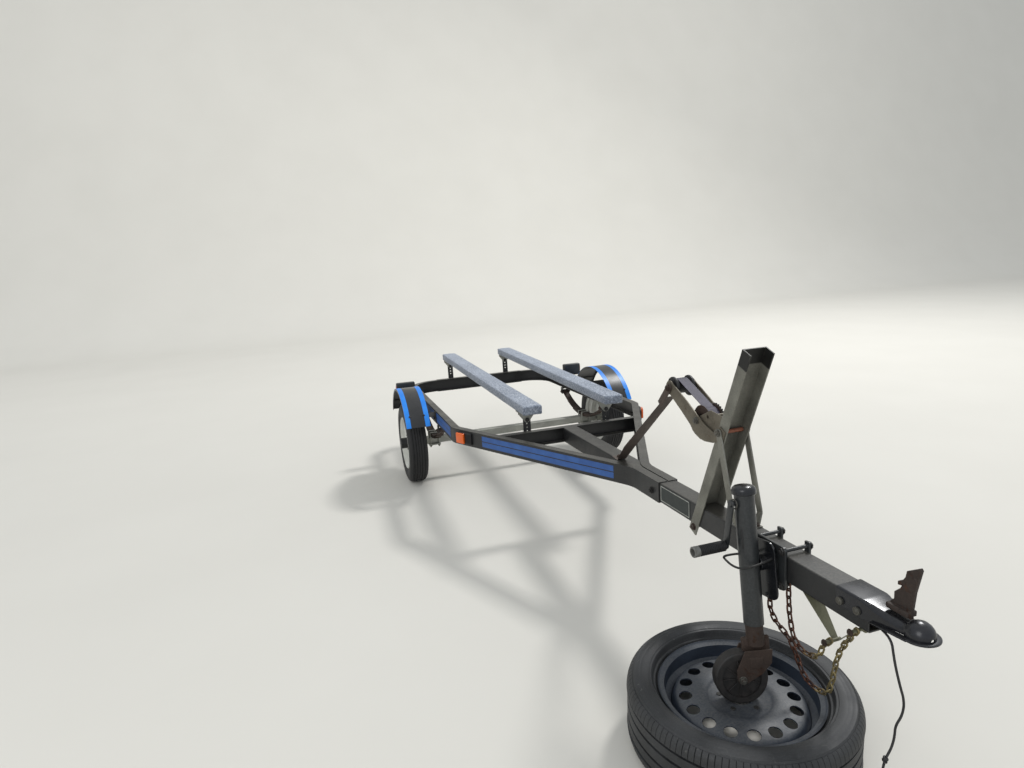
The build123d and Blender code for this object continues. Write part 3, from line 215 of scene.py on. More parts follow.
# name: base, patch, worn, rust, rust share, roughness range, metallic, grain size and bump, dust
FINISHES = {
    # black machinery enamel, brushed on and chalked by the sun: near black, half gloss, dusty on top
    "chassis_enamel": ("#0f1012", "#191a1b", "#3d3c3a", "#3f2a20", 0.12, (0.32, 0.52), 0.0, (1.6, 0.2), 0.2),
    # the same enamel on the fenders' smooth sheet: evener and a little glossier
    "fender_enamel": ("#101114", "#17181b", "#34363a", "#3a2a22", 0.0, (0.28, 0.4), 0.0, (3.0, 0.08), 0.1),
    # gloss black on the pressed coupler: deep, wet-looking, with rust at its rim
    "coupler_enamel": ("#0b0c10", "#121319", "#34353a", "#4f3024", 0.2, (0.18, 0.32), 0.1, (3.0, 0.05), 0.05),
    # hot-dipped zinc gone dull: grey-olive with dark stains and rust freckles
    "dull_zinc": ("#74736b", "#5d5c55", "#a8a699", "#5c3a26", 0.16, (0.42, 0.62), 0.45, (2.2, 0.3), 0.12),
    # black powder coat on the jack: dark grey-green, half gloss, scuffed grey at its edges
    "jack_coat": ("#1d1f20", "#252727", "#55585a", "#3f2b22", 0.1, (0.28, 0.42), 0.15, (1.6, 0.08), 0.1),
    # bare steel left in the weather: dark brown all over with darker pits
    "rusted_steel": ("#33261f", "#271e19", "#5e4d42", "#3f2c20", 0.5, (0.62, 0.84), 0.2, (2.0, 0.7), 0.06),
    # the latch, painted once: near black below and rusted brown above
    "latch_rust": ("#2a211d", "#1f1a18", "#5a483d", "#4a3020", 0.5, (0.5, 0.8), 0.2, (1.8, 0.6), 0.05),
    # olive paint over zinc on the V foot
    "foot_olive": ("#66654f", "#545341", "#86846c", "#553a24", 0.16, (0.42, 0.6), 0.3, (1.8, 0.25), 0.1),
    # black enamel on the swivel plate, handled smooth and glossy
    "swivel_gloss": ("#0d0e10", "#15171a", "#43454a", "#3f2b22", 0.05, (0.16, 0.3), 0.2, (1.2, 0.1), 0.08),
    # zinc on the bow plates and winch cheeks, gone brown-grey under old grease
    "arm_zinc": ("#625c50", "#4a443a", "#948c7c", "#5a3824", 0.34, (0.42, 0.64), 0.5, (2.0, 0.35), 0.12),
    # flat bar whose paint has gone: even brown-grey, rusted along its edges
    "brown_bar": ("#463a34", "#3b322d", "#665a50", "#553526", 0.25, (0.5, 0.7), 0.25, (1.8, 0.35), 0.1),
    # zinc-plated bolts: brighter than what they hold, rust in the threads
    "plated_bolts": ("#5f5d56", "#474540", "#918f87", "#5a3a28", 0.35, (0.32, 0.52), 0.7, (1.0, 0.3), 0.05),
    # black bolts, oiled rather than plated; also the painted shade of the lying wheel's lug holes
    "black_bolts": ("#1b1b1c", "#262524", "#5a5854", "#4a3226", 0.25, (0.4, 0.6), 0.4, (1.0, 0.3), 0.05),
    # coppery rust on the rod through the post
    "coppery_rod": ("#8d5a45", "#7a4a38", "#b0745c", "#6d4230", 0.4, (0.5, 0.7), 0.4, (1.2, 0.4), 0.0),
    # white wheel enamel: bright, with grime in the corners
    "white_enamel": ("#cfcfc8", "#bdbcb4", "#e2e2dc", "#7a5a44", 0.05, (0.35, 0.5), 0.0, (1.4, 0.1), 0.1),
    # dark wheel enamel on the lying wheel: blue-black, scuffed and stained by dried water
    "wheel_enamel": ("#1b222c", "#262e39", "#465060", "#3a2c26", 0.05, (0.42, 0.6), 0.0, (2.4, 0.12), 0.22),
    # galvanised tube and plate kept cleaner: light grey, spangled
    "light_zinc": ("#93938b", "#7f8079", "#acaca4", "#6a4630", 0.12, (0.42, 0.6), 0.5, (2.2, 0.25), 0.12),
}
look = {name: weathered(name, *values) for name, values in FINISHES.items()}
post_dip = (POST_UP, DIP_HEIGHT, "#262624")
look["post_zinc"] = weathered("post_zinc", *FINISHES["dull_zinc"], dip=post_dip)


def plain(name, base, second, rough, size_mm, bump, grain, **surface):
    """A moulded or pressed material of two near tones with a fine grain."""
    material, tree, shader, where = begin(name, **surface)
    cloud = add(tree, NOISE, {"Vector": where, "Scale": 1000 / size_mm, "Detail": 4.0})
    share = add(tree, RANGE, {"Value": cloud, "From Min": 0.35, "From Max": 0.7})
    colour = add(tree, MIX, {0: share, 6: srgb(base), 7: srgb(second)}, data_type="RGBA")
    shine = add(tree, RANGE, {"Value": share, "To Min": rough, "To Max": min(rough + 0.15, 1)})
    height = add(tree, NOISE, {"Vector": where, "Scale": 1000 / grain})
    finish_look(tree, shader, colour, shine, height, 0.0003, bump)
    return material


# name: first tone, second tone, roughness, blotch size, bump strength, grain size
MOULDED = {
    # vulcanised tread rubber, greyed by road dust
    "tyre_rubber": ("#161617", "#242323", 0.62, 30, 0.3, 0.9),
    # injection-moulded black polypropylene
    "black_plastic": ("#111112", "#1b1b1c", 0.42, 25, 0.15, 0.7),
    # hard black rubber of the caster, worn grey on its rim
    "caster_rubber": ("#151413", "#262220", 0.55, 18, 0.3, 0.9),
    # soft black rubber of the bow roller and the grip
    "soft_rubber": ("#131314", "#1e1e1f", 0.5, 15, 0.2, 0.8),
    # grey sleeve that shows in the hollow end of the grip
    "grip_sleeve": ("#6b6b68", "#57564f", 0.6, 12, 0.2, 0.8),
    # bright blue adhesive film, nearly new
    "bright_film": ("#0574d2", "#0a7fdd", 0.35, 60, 0.05, 0.6),
    # older blue film, gone dusty and a little chalky
    "faded_film": ("#264c88", "#325a97", 0.5, 40, 0.1, 0.8),
    # soft vinyl over the wires of the cable, and its moulded plug; also the painted shade inside the jack
    # tube's slot
    "black_vinyl_and_slot_shade": ("#101011", "#1a1a1b", 0.45, 20, 0.05, 0.6),
    # aluminium sheet painted satin black, left blank, with a pale border
    "plate_black": ("#18201f", "#232a29", 0.4, 30, 0.08, 0.7),
    "plate_border": ("#b4b5ad", "#8f9088", 0.45, 30, 0.08, 0.7),
    # smoked grey plastic of the lamp housings
    "lamp_housing": ("#1c1f21", "#282c2e", 0.35, 30, 0.1, 0.8),
}
look.update({name: plain(name, *values) for name, values in MOULDED.items()})


def lens(name, base, deep):
    """Coloured acrylic moulded with close prisms on its inside, which show as fine ribs."""
    material, tree, shader, where = begin(name, Roughness=0.18, IOR=1.49, Coat_Weight=0.4)
    # prisms 5 mm apart, twice the real pitch, so that they show
    ribs = add(tree, "ShaderNodeTexWave", {"Vector": where, "Scale": 62.0}, bands_direction="Z")
    ribs = ribs.outputs["Fac"]
    colour = add(tree, MIX, {0: ribs, 6: srgb(base), 7: srgb(deep)}, data_type="RGBA")
    tree.links.new(live(colour), shader.inputs["Base Color"])
    bump = {"Height": ribs, "Distance": 0.0006, "Strength": 0.35}
    tree.links.new(add(tree, "ShaderNodeBump", bump).outputs[0], shader.inputs["Normal"])
    return material


look["red_acrylic"] = lens("red_acrylic", "#a81612", "#7a0d0c")
look["amber_acrylic"] = lens("amber_acrylic", "#e8650c", "#c24e08")


def aged_tyre():
    """Passenger-car tyre rubber, years old: black with a grey bloom, road film and paler scuffs."""
    material, tree, shader, where = begin("aged_tyre", IOR=1.52)
    cloud = add(tree, NOISE, {"Vector": where, "Scale": 9.0, "Detail": 6.0, "Roughness": 0.6})
    fine = add(tree, NOISE, {"Vector": where, "Scale": 240.0, "Detail": 4.0, "Roughness": 0.7})
    scuff = add(tree, NOISE, {"Vector": where, "Scale": 30.0, "Detail": 5.0, "Distortion": 1.4})
    colour = layered(tree, srgb("#191a1b"), [
        (cloud, 0.4, 0.62, 1, "#2b2c2d"), (fine, 0.5, 0.8, 0.5, "#454648"),
        (scuff, 0.66, 0.74, 0.5, "#5d5c58"),
    ])
    shine = {"Value": cloud, "From Min": 0.3, "From Max": 0.7, "To Min": 0.5, "To Max": 0.72}
    finish_look(tree, shader, colour, add(tree, RANGE, shine), fine, 0.0005, 0.35)
    return material


def marine_carpet():
    """Needle-punched marine carpet: blue-grey pile with light and dark flecks, paler in patches, and painted
    shade that darkens it as its faces turn downwards.
    """
    material, tree, shader, where = begin("marine_carpet", Sheen_Weight=0.25)
    # flecks are drawn about 9 mm across, coarser than the real fibre clumps, so that they show
    fleck = add(tree, NOISE, {"Vector": where, "Scale": 115.0, "Detail": 5.0, "Roughness": 0.75})
    tuft = add(tree, NOISE, {"Vector": where, "Scale": 380.0, "Detail": 3.0, "Roughness": 0.7})
    bleach = add(tree, NOISE, {"Vector": where, "Scale": 5.0, "Detail": 3.0})
    normal = add(tree, "ShaderNodeNewGeometry").outputs["Normal"]
    up = add(tree, "ShaderNodeSeparateXYZ", {0: normal}).outputs["Z"]
    # the last layer is painted shade: a dark blue-grey that grows as the faces turn from up to down
    colour = layered(tree, srgb("#737b88"), [
        (bleach, 0.35, 0.65, 1, "#868e9b"), (fleck, 0.53, 0.63, 1, "#c6ccd6"),
        (fleck, 0.46, 0.38, 1, "#4c5668"), (tuft, 0.5, 0.8, 0.5, "#aab2bf"), (up, 0.8, -0.4, 0.45, "#4f5560"),
    ])
    rough = add(tree, RANGE, {"Value": tuft, "To Min": 0.9, "To Max": 1.0})
    mixed_height = add(tree, MATHS, {0: tuft, 1: fleck}, operation="ADD")
    finish_look(tree, shader, colour, rough, mixed_height, 0.003, 0.8)
    return material


def strap_webbing():
    """Woven polyester webbing: a close twill across its width with a silky, purple-grey face."""
    material, tree, shader, where = begin("strap_webbing", Specular_IOR_Level=0.25)
    # yarns are drawn 3 mm apart, twice the real pitch, so that they show
    weft = add(tree, "ShaderNodeTexWave", {"Vector": where, "Scale": 105.0}, bands_direction="Y")
    warp = add(tree, "ShaderNodeTexWave", {"Vector": where, "Scale": 105.0}, bands_direction="X")
    weave = add(tree, MATHS, {0: weft.outputs["Fac"], 1: warp.outputs["Fac"]}, operation="MULTIPLY")
    stain = add(tree, NOISE, {"Vector": where, "Scale": 22.0, "Detail": 4.0})
    share = add(tree, RANGE, {"Value": stain, "From Min": 0.35, "From Max": 0.65})
    colour = add(tree, MIX, {0: share, 6: srgb("#2b2935"), 7: srgb("#3e3a4b")}, data_type="RGBA")
    share = add(tree, RANGE, {"Value": weave, "To Max": 0.35})
    colour = add(tree, MIX, {0: share, 6: colour, 7: srgb("#5d555f")}, data_type="RGBA")
    rough = add(tree, RANGE, {"Value": share, "To Min": 0.5, "To Max": 0.7})
    finish_look(tree, shader, colour, rough, weave, 0.0006, 0.5)
    return material


def chain_steel():
    """Welded chain: yellow-passivated zinc towards the coupler, rusted brown towards the jack."""
    material, tree, shader, where = begin("chain_steel", Metallic=0.55)
    rust = add(tree, NOISE, {"Vector": where, "Scale": 60.0, "Detail": 5.0, "Roughness": 0.7})
    pits = add(tree, RANGE, {"Value": rust, "From Min": 0.35, "From Max": 0.65})
    brown = add(tree, MIX, {0: pits, 6: srgb("#5a3727"), 7: srgb("#2c1e19")}, data_type="RGBA")
    zinc = add(tree, MIX, {0: pits, 6: srgb("#8a7d55"), 7: srgb("#5c5340")}, data_type="RGBA")
    along = add(tree, "ShaderNodeSeparateXYZ", {0: where}).outputs["Y"]
    ragged = add(tree, MATHS, {0: rust, 1: 0.12}, operation="MULTIPLY")
    along = add(tree, MATHS, {0: along, 1: ragged}, operation="ADD")
    share = add(tree, RANGE, {"Value": along, "From Min": -1.63, "From Max": -1.57})
    colour = add(tree, MIX, {0: share, 6: zinc, 7: brown}, data_type="RGBA")
    rough = add(tree, RANGE, {"Value": pits, "To Min": 0.4, "To Max": 0.75})
    finish_look(tree, shader, colour, rough, rust, 0.0005, 0.5)
    return material


for make in (aged_tyre, marine_carpet, strap_webbing, chain_steel):
    look[make.__name__] = make()

# Finish of each CAD node that is shown as it is
NODE_LOOKS = {
    "chassis_enamel": (
        "tongue_tube rail_left rail_right front_crossmember rear_crossmember spring_hangers "
        "fender_brackets light_brackets bunk_posts"
    ),
    "fender_enamel": "fender_left fender_right",
    "plated_bolts": "coupler_bolts",
    "post_zinc": "winch_post",
    "light_zinc": "axle_beam spring_clamps hub_left hub_right bunk_swivels",
    "jack_coat": "jack_tube",
    "rusted_steel": "leaf_spring_left leaf_spring_right jack_leg",
    "white_enamel": "rim_left rim_right",
    "black_plastic": "hub_cap_left hub_cap_right",
    "caster_rubber": "caster_wheel",
    "plate_black": "name_plate",
}
for name, members in NODE_LOOKS.items():
    for member in members.split():
        nodes[member].data.materials.clear()
        nodes[member].data.materials.append(look[name])

# Floor, light and camera
FLOOR_HALF = 14.0
COVE_START = 9.0
COVE_RISE = 0.45
stage_mesh = bmesh.new()
bmesh.ops.create_grid(stage_mesh, x_segments=8, y_segments=56, size=FLOOR_HALF)
for vert in stage_mesh.verts:
    beyond = max(vert.co.y - COVE_START, 0)
    vert.co.z = COVE_RISE * beyond**2
    vert.co.x *= 2
floor_mesh = bpy.data.meshes.new("floor")
stage_mesh.to_mesh(floor_mesh)
stage_mesh.free()
for polygon in floor_mesh.polygons:
    polygon.use_smooth = True
cove = bpy.data.objects.new("floor", floor_mesh)
bpy.context.scene.collection.objects.link(cove)
floor_mesh.materials.append(plain("floor_concrete", "#cbc8c0", "#c9c6be", 0.9, 900, 0.03, 4.0))

world = bpy.data.worlds.new("studio")
world.use_nodes = True
sky = world.node_tree.nodes["Background"]
sky.inputs["Color"].default_value = srgb("#e4e9ee")
sky.inputs["Strength"].default_value = 0.95
bpy.context.scene.world = world

for name, at, aim, size, watts in (
    ("key", (6.2, 3.0, 9.5), (0, -0.4, 0.4), 1.6, 760),
    ("fill", (-5.5, -5.0, 4.5), (0, -1.2, 0.4), 3.5, 150),
    ("backdrop left", (-5.0, 4.0, 9.0), (-6, 14, 4.5), 8.0, 230),
    ("backdrop right", (7.0, 4.0, 9.0), (9, 14, 4.5), 8.0, 330),
):
    lamp = bpy.data.lights.new(name, "AREA")
    lamp.size = size
    lamp.energy = watts
    holder = bpy.data.objects.new(name, lamp)
    holder.location = at
    holder.rotation_euler = (Vector(aim) - Vector(at)).to_track_quat("-Z", "Y").to_euler()
    bpy.context.scene.collection.objects.link(holder)

CAMERA_AT = Vector((-1.234251, AXLE.y - 4.063414, 1.477150))
YAW, PITCH, ROLL = 0.299275, 0.213122, -0.053958
FOCAL_PIXELS, PICTURE_PIXELS = 647.213, 1024
SENSOR = 36
view_ahead = Vector((sin(YAW) * cos(PITCH), cos(YAW) * cos(PITCH), -sin(PITCH)))
across = Vector((cos(YAW), -sin(YAW), 0))
above = across.cross(view_ahead)
view_right = cos(ROLL) * across + sin(ROLL) * above
view_up = cos(ROLL) * above - sin(ROLL) * across
camera = bpy.data.cameras.new("camera")
camera.sensor_width = SENSOR
camera.lens = FOCAL_PIXELS * SENSOR / PICTURE_PIXELS
camera.clip_end = 100
holder = bpy.data.objects.new("camera", camera)
holder.matrix_world = Matrix.Translation(CAMERA_AT) @ frame_of((0, 0, 0), view_right, view_up, -view_ahead)
bpy.context.scene.collection.objects.link(holder)
bpy.context.scene.camera = holder
bpy.context.scene.view_settings.view_transform = "Standard"


# Pieces: each is built in millimetres in a bmesh, then placed


def place(name, shape, finish, body="trailer", spot=TRAILER, replaced=(), sharp=32):
    """Turn a shape into a piece: closed, facing outwards, in its place, finished and riding on a body."""
    bmesh.ops.remove_doubles(shape, verts=shape.verts, dist=0.01)
    bmesh.ops.recalc_face_normals(shape, faces=shape.faces)
    bmesh.ops.transform(shape, matrix=spot, verts=shape.verts)
    for face in shape.faces:
        face.smooth = True
    mesh = bpy.data.meshes.new(name)
    shape.to_mesh(mesh)
    shape.free()
    mesh.set_sharp_from_angle(angle=radians(sharp))
    piece = bpy.data.objects.new(name, mesh)
    bpy.context.scene.collection.objects.link(piece)
    mesh.materials.append(look[finish])
    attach(piece, body)
    if replaced:
        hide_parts(*replaced)
    return piece


def turned(profile, steps=48, start_at=0.0, sweep=2 * pi, closed=True):
    """A half section of (offset, radius) pairs, spun round the local Z axis."""
    shape = bmesh.new()
    across, up = cos(start_at), sin(start_at)
    line = [shape.verts.new((radius * across, radius * up, offset)) for offset, radius in profile]
    pairs = zip(line, line[1:] + line[:1]) if closed else zip(line, line[1:])
    edges = [shape.edges.new(pair) for pair in pairs]
    bmesh.ops.spin(
        shape, geom=line + edges, cent=(0, 0, 0), axis=(0, 0, 1), angle=sweep, steps=steps,
        use_merge=sweep == 2 * pi,
    )
    return shape


def join(shape, other):
    """Move the faces of another shape into a shape."""
    holding = bpy.data.meshes.new("holding")
    other.to_mesh(holding)
    other.free()
    shape.from_mesh(holding)


def slab(shape, size, spot, rounding=0.0, segments=3):
    """Add a box of a size, centred on a spot, with rounded edges."""
    made = bmesh.ops.create_cube(shape, size=1.0, matrix=spot @ Matrix.Diagonal((*size, 1)))["verts"]
    if rounding:
        soften(shape, edges_of(made), rounding, segments)


def edges_of(verts):
    """The edges between some vertices, each once and in a steady order."""
    within = set(verts)
    linked = [edge for vert in verts for edge in vert.link_edges if edge.other_vert(vert) in within]
    return list(dict.fromkeys(linked))


def soften(shape, edges, offset, segments=1):
    """Bevel some edges."""
    bmesh.ops.bevel(
        shape, geom=edges, offset=offset, segments=segments, profile=0.5, affect="EDGES", material=-1
    )


def facing(at, towards):
    """The place of a drawing whose local Z axis points towards a direction."""
    return Matrix.Translation(at) @ Vector(towards).to_track_quat("Z", "Y").to_matrix().to_4x4()


def from_wheel(side):
    """The place of a wheel's drawing, with local Z along the axle and outwards on the left side."""
    return TRAILER @ Matrix.Translation((side * WHEEL_X, 0, TYRE_RADIUS)) @ Matrix.Rotation(pi / 2, 4, "Y")


# Road tyres: four wide grooves, a fine one in the middle, and a crown cut into blocks
ROAD_OUTSIDE = [
    (43.8, 154.4), (45.8, 163.0), (47.4, 167.5), (50.6, 170.0), (51.4, 173.5), (54.6, 181.0), (57.4, 190.0),
    (58.9, 199.0), (59.4, 208.0), (58.9, 218.0), (57.6, 226.0), (57.9, 228.0), (56.8, 230.0), (55.0, 236.0),
    (51.4, 241.5), (47.0, 244.6), (46.2, 247.2), (40.0, 249.4), (34.4, 250.3), (34.0, 245.4), (30.8, 245.5),
    (30.4, 250.7), (17.6, 250.9), (17.2, 245.8), (13.6, 245.9), (13.2, 250.9), (2.2, 250.9), (1.6, 247.4),
]
ROAD_INSIDE = [(20.0, 243.8), (41.0, 239.0), (51.0, 208.0), (35.8, 154.4)]
ROAD_STEPS = 120
ROAD_CROWN, ROAD_CROWN_HALF = 248.0, 46.0
ROAD_CUT, ROAD_CUT_DEPTH = 0.9, 1.0


def tyre_section(outside, inside):
    """A closed section of a tyre: out along one side, over the crown, and back inside."""
    flip = [(-offset, radius) for offset, radius in outside][::-1]
    return outside + flip + [(-offset, radius) for offset, radius in inside[::-1]] + inside


def from_axis(face):
    """How far a face's middle lies from the local Z axis, and along it."""
    middle = face.calc_center_median()
    return hypot(middle.x, middle.y), middle.z


for name, side in SIDES:
    shape = turned(tyre_section(ROAD_OUTSIDE, ROAD_INSIDE), steps=ROAD_STEPS)
    bmesh.ops.recalc_face_normals(shape, faces=shape.faces)
    crown = []
    for face in shape.faces:
        radius, offset = from_axis(face)
        if radius > ROAD_CROWN and abs(offset) < ROAD_CROWN_HALF and abs(face.normal.z) < 0.8:
            crown.append(face)
    bmesh.ops.inset_individual(shape, faces=crown, thickness=ROAD_CUT, depth=ROAD_CUT_DEPTH)
    place(
        f"road_tyre_{name}", shape, "tyre_rubber", f"{name}_wheel",
        from_wheel(side), (f"tyre_{name}",),
    )

# The lying tyre: sidewall rings, a shoulder of long narrow blocks, and grooves
LYING_MIDDLE = 102.5
LYING_OUTSIDE = [
    (60.5, 220.5), (64, 229), (68, 237), (76, 241), (77.5, 246), (84, 249), (93, 250.6), (96.4, 253),
    (97.4, 258.5), (99, 260), (100.5, 266), (101.6, 274), (101.9, 282), (101.2, 284), (101, 286),
    (101.4, 288), (100.2, 294), (97.4, 302.5), (97.6, 304), (95.2, 306.5), (92.6, 308.5), (87, 315),
    (79, 319.6), (68, 322.8), (58, 324), (57.2, 317), (51, 317.2), (50.2, 324.2), (38, 324.2),
    (24, 324.2), (23.2, 316.8), (16, 316.8), (15.2, 324.2), (5, 324.2),
]
LYING_INSIDE = [(40, 315.5), (76, 311), (92, 270), (88, 256), (51, 220.5)]
BLOCKS = 118
SHOULDER_RADIUS, SHOULDER = 310, (58, 92)
SIPE, SIPE_DEPTH = 1.3, 2.0
shape = turned(tyre_section(LYING_OUTSIDE, LYING_INSIDE), steps=BLOCKS)
bmesh.ops.recalc_face_normals(shape, faces=shape.faces)
sectors = {}
for face in shape.faces:
    radius, offset = from_axis(face)
    if radius > SHOULDER_RADIUS and SHOULDER[0] < abs(offset) < SHOULDER[1]:
        middle = face.calc_center_median()
        sector = (floor(atan2(middle.y, middle.x) * BLOCKS / (2 * pi)), offset > 0)
        sectors.setdefault(sector, []).append(face)
for faces in sectors.values():
    bmesh.ops.inset_region(shape, faces=faces, thickness=SIPE, depth=SIPE_DEPTH)
place(
    "lying_tyre", shape, "aged_tyre",
    spot=LYING @ Matrix.Translation((0, 0, LYING_MIDDLE)), replaced=("spare_tyre",),
)

# Bunks: boards wrapped in carpet, which is slack over the board and wrinkled at its ends
BUNK_AT = (223, -148.5, 649)
BUNK_WIDE, BUNK_LONG, BUNK_THICK = 103.5, 1957, 49.5
BUNK_SLOPE = atan(44 / BUNK_LONG)
WRINKLED_END = 70
WRINKLE_SPAN, SAG_SPAN = 26, 160
TUCKED_IN = 2.4
for name, side in SIDES:
    shape = bmesh.new()
    slab(shape, (BUNK_WIDE, BUNK_LONG, BUNK_THICK), Matrix.Identity(4), 9.0, 4)
    long_edges = [edge for edge in shape.edges if edge.calc_length() > BUNK_LONG / 2]
    bmesh.ops.subdivide_edges(shape, edges=long_edges, cuts=90, use_grid_fill=True)
    cross_edges = [edge for edge in shape.edges if 40 < edge.calc_length() < 120]
    bmesh.ops.subdivide_edges(shape, edges=cross_edges, cuts=4, use_grid_fill=True)
    for vert in shape.verts:
        near_end = max(0.0, 1 - (BUNK_LONG / 2 - abs(vert.co.y)) / WRINKLED_END)
        wrinkle = noise.noise(vert.co / WRINKLE_SPAN + Vector((side * 9, 0, 0))) * (0.5 + 2.2 * near_end)
        sag = noise.noise(vert.co / SAG_SPAN + Vector((side * 5, 3, 1))) * 0.6
        inward = Vector((vert.co.x / BUNK_WIDE, 0, vert.co.z / BUNK_THICK)) * -TUCKED_IN
        vert.co += inward + Vector((wrinkle * 0.3, 0.6 * wrinkle * near_end, 0.7 * wrinkle + sag))
    tilt = Matrix.Translation((side * BUNK_AT[0], *BUNK_AT[1:])) @ Matrix.Rotation(BUNK_SLOPE, 4, "X")
    place(
        f"carpeted_bunk_{name}", shape, "marine_carpet",
        spot=TRAILER @ tilt, replaced=(f"bunk_{name}",), sharp=60,
    )

# Strap: wound on the drum, up over the bow roller and down a little in front of it
STRAP_HALF, STRAP_THICK = 19.5, 1.9
COIL_STEPS, STEPS_A_TURN = 150, 27
COIL_INNER, COIL_GROWS = 24.5, 15.8
STRAP_ON_ROLLER = 30.2
ROLLER_STEPS, ROLLER_STEP = 14, 7.8


def around(centre, radius, turn):
    """A point of a drawing at a radius and an angle from a centre."""
    return centre[0] + radius * cos(turn), centre[1] + radius * sin(turn)


strap_line = []
for step in range(COIL_STEPS + 1):
    turn = -pi * 0.5 + 2 * pi * step / STEPS_A_TURN
    strap_line.append(around(DRUM_AT, COIL_INNER + COIL_GROWS * step / COIL_STEPS, turn))
for step in range(ROLLER_STEPS):
    strap_line.append(around(ROLLER_AT, STRAP_ON_ROLLER, radians(90 - ROLLER_STEP * step)))
shape = bmesh.new()
line = [shape.verts.new((out, up, -STRAP_HALF)) for out, up in strap_line]
edges = [shape.edges.new(pair) for pair in zip(line, line[1:])]
drawn = bmesh.ops.extrude_edge_only(shape, edges=edges)["geom"]
far = [part for part in drawn if isinstance(part, bmesh.types.BMVert)]
bmesh.ops.translate(shape, vec=(0, 0, 2 * STRAP_HALF), verts=far)
bmesh.ops.solidify(shape, geom=shape.faces[:], thickness=STRAP_THICK)
place(
    "winch_webbing", shape, "strap_webbing",
    spot=TRAILER @ POST, replaced=("winch_strap",), sharp=50,
)

# Plates, bars, rods and wire
SHARP = 1.2


def ease(shape, verts, offset):
    """Bevel the edges between some vertices where the surface turns by more than SHARP radians."""
    sharp = [edge for edge in edges_of(verts) if edge.is_manifold and edge.calc_face_angle(0) > SHARP]
    soften(shape, sharp, offset)


def flat(shape, outline, low, high, spot, rounding=0.7):
    """Add a plate: an outline in a drawing's x and y, between two heights, with eased edges."""
    near = [shape.verts.new(spot @ Vector((x, y, low))) for x, y in outline]
    drawn = bmesh.ops.extrude_face_region(shape, geom=[shape.faces.new(near)])["geom"]
    far = [part for part in drawn if isinstance(part, bmesh.types.BMVert)]
    bmesh.ops.translate(shape, vec=spot.to_3x3() @ Vector((0, 0, high - low)), verts=far)
    if rounding:
        ease(shape, near + far, rounding)


def strip(shape, line, reach, thick, spot):
    """Add a folded bar along a line of (x, y) points; reach gives its low and high side at each."""
    before = set(shape.verts)
    near = [shape.verts.new((x, y, low)) for (x, y), (low, high) in zip(line, reach)]
    edges = [shape.edges.new(pair) for pair in zip(near, near[1:])]
    drawn = bmesh.ops.extrude_edge_only(shape, edges=edges)["geom"]
    for vert in drawn:
        if isinstance(vert, bmesh.types.BMVert):
            at = min(range(len(line)), key=lambda k: hypot(line[k][0] - vert.co.x, line[k][1] - vert.co.y))
            vert.co.z = reach[at][1]
    faces = [part for part in drawn if isinstance(part, bmesh.types.BMFace)]
    bmesh.ops.solidify(shape, geom=faces, thickness=thick)
    made = [vert for vert in shape.verts if vert not in before]
    bmesh.ops.transform(shape, matrix=spot, verts=made)


def rod(shape, start, end, radius, segments=24):
    """Add a round bar between two points, with its ends eased."""
    start, end = Vector(start), Vector(end)
    made = bmesh.ops.create_cone(
        shape, cap_ends=True, segments=segments, radius1=radius, radius2=radius,
        depth=(end - start).length, matrix=facing((start + end) / 2, end - start),
    )["verts"]
    ease(shape, made, min(0.8, radius / 8))


def bar(shape, start, end, wide, thick, face_dir):
    """Add a straight flat bar between two points, with its face square to a direction."""
    start, end = Vector(start), Vector(end)
    along = (end - start).normalized()
    face_dir = (face_dir - along * face_dir.dot(along)).normalized()
    spot = frame_of((start + end) / 2, along, face_dir.cross(along), face_dir)
    slab(shape, ((end - start).length, wide, thick), spot, 0.8, 2)


def pin(shape, at, low, high, radius, segments=24):
    """Add a rod across the trailer at a place on the post's drawing, between two heights of it."""
    rod(shape, on_post(at, low), on_post(at, high), radius, segments)


def curve_object(name, resolution):
    """An empty curve and the object that holds it."""
    data = bpy.data.curves.new(name, "CURVE")
    data.dimensions = "3D"
    data.resolution_u = resolution
    holder = bpy.data.objects.new(name, data)
    bpy.context.scene.collection.objects.link(holder)
    return data, holder


def round_line(name, points, radius, resolution, roundness):
    """A curve object: a round tube with a smooth line that some points control."""
    data, holder = curve_object(name, resolution)
    data.bevel_depth = radius
    data.bevel_resolution = roundness
    data.use_fill_caps = True
    spline = data.splines.new("NURBS")
    spline.points.add(len(points) - 1)
    for control, point in zip(spline.points, points):
        control.co = (*point, 1)
    spline.order_u = 3
    spline.use_endpoint_u = True
    return holder


def mesh_from(holder):
    """The mesh that a curve object shows; the object itself is taken away."""
    bpy.context.view_layer.update()
    mesh = bpy.data.meshes.new_from_object(holder)
    bpy.data.objects.remove(holder)
    return mesh


def wire_ring(wire, ring):
    """The section of a round wire that is turned to a ring."""
    return [(wire * sin(step * pi / 4), ring + wire * cos(step * pi / 4)) for step in range(8)]


def rounded(wide, tall, corner, at=(0, 0)):
    """The outline of a rectangle with round corners."""
    outline = []
    for quarter, (x, y) in enumerate(((1, 1), (-1, 1), (-1, -1), (1, -1))):
        for step in range(6):
            turn = (quarter + step / 5) * pi / 2
            outline.append((
                at[0] + x * (wide / 2 - corner) + corner * cos(turn),
                at[1] + y * (tall / 2 - corner) + corner * sin(turn),
            ))
    return outline


# Bow stop: two plates from the post to the roller, which also carry the winch drum
ARM_FACE = 42.3
ARM_WALL = 5.0
ARM_TIP = [around(ROLLER_AT, 25, radians(turn)) for turn in range(90, -91, -15)]
ARM = [(-38, 340), (-6, 342), (10, 304), (66, 299), (114, 304), (183, 313), (276, 319)] + ARM_TIP
ARM += [(276, 274), (191, 261), (130, 249), (112, 240), (94, 237), (66, 239), (40, 248), (0, 272), (-38, 310)]
shape = bmesh.new()
for low in (-ARM_FACE - ARM_WALL, ARM_FACE):
    flat(shape, ARM, low, low + ARM_WALL, POST)
place("bow_plates", shape, "arm_zinc", replaced=("bow_stop_arms",))

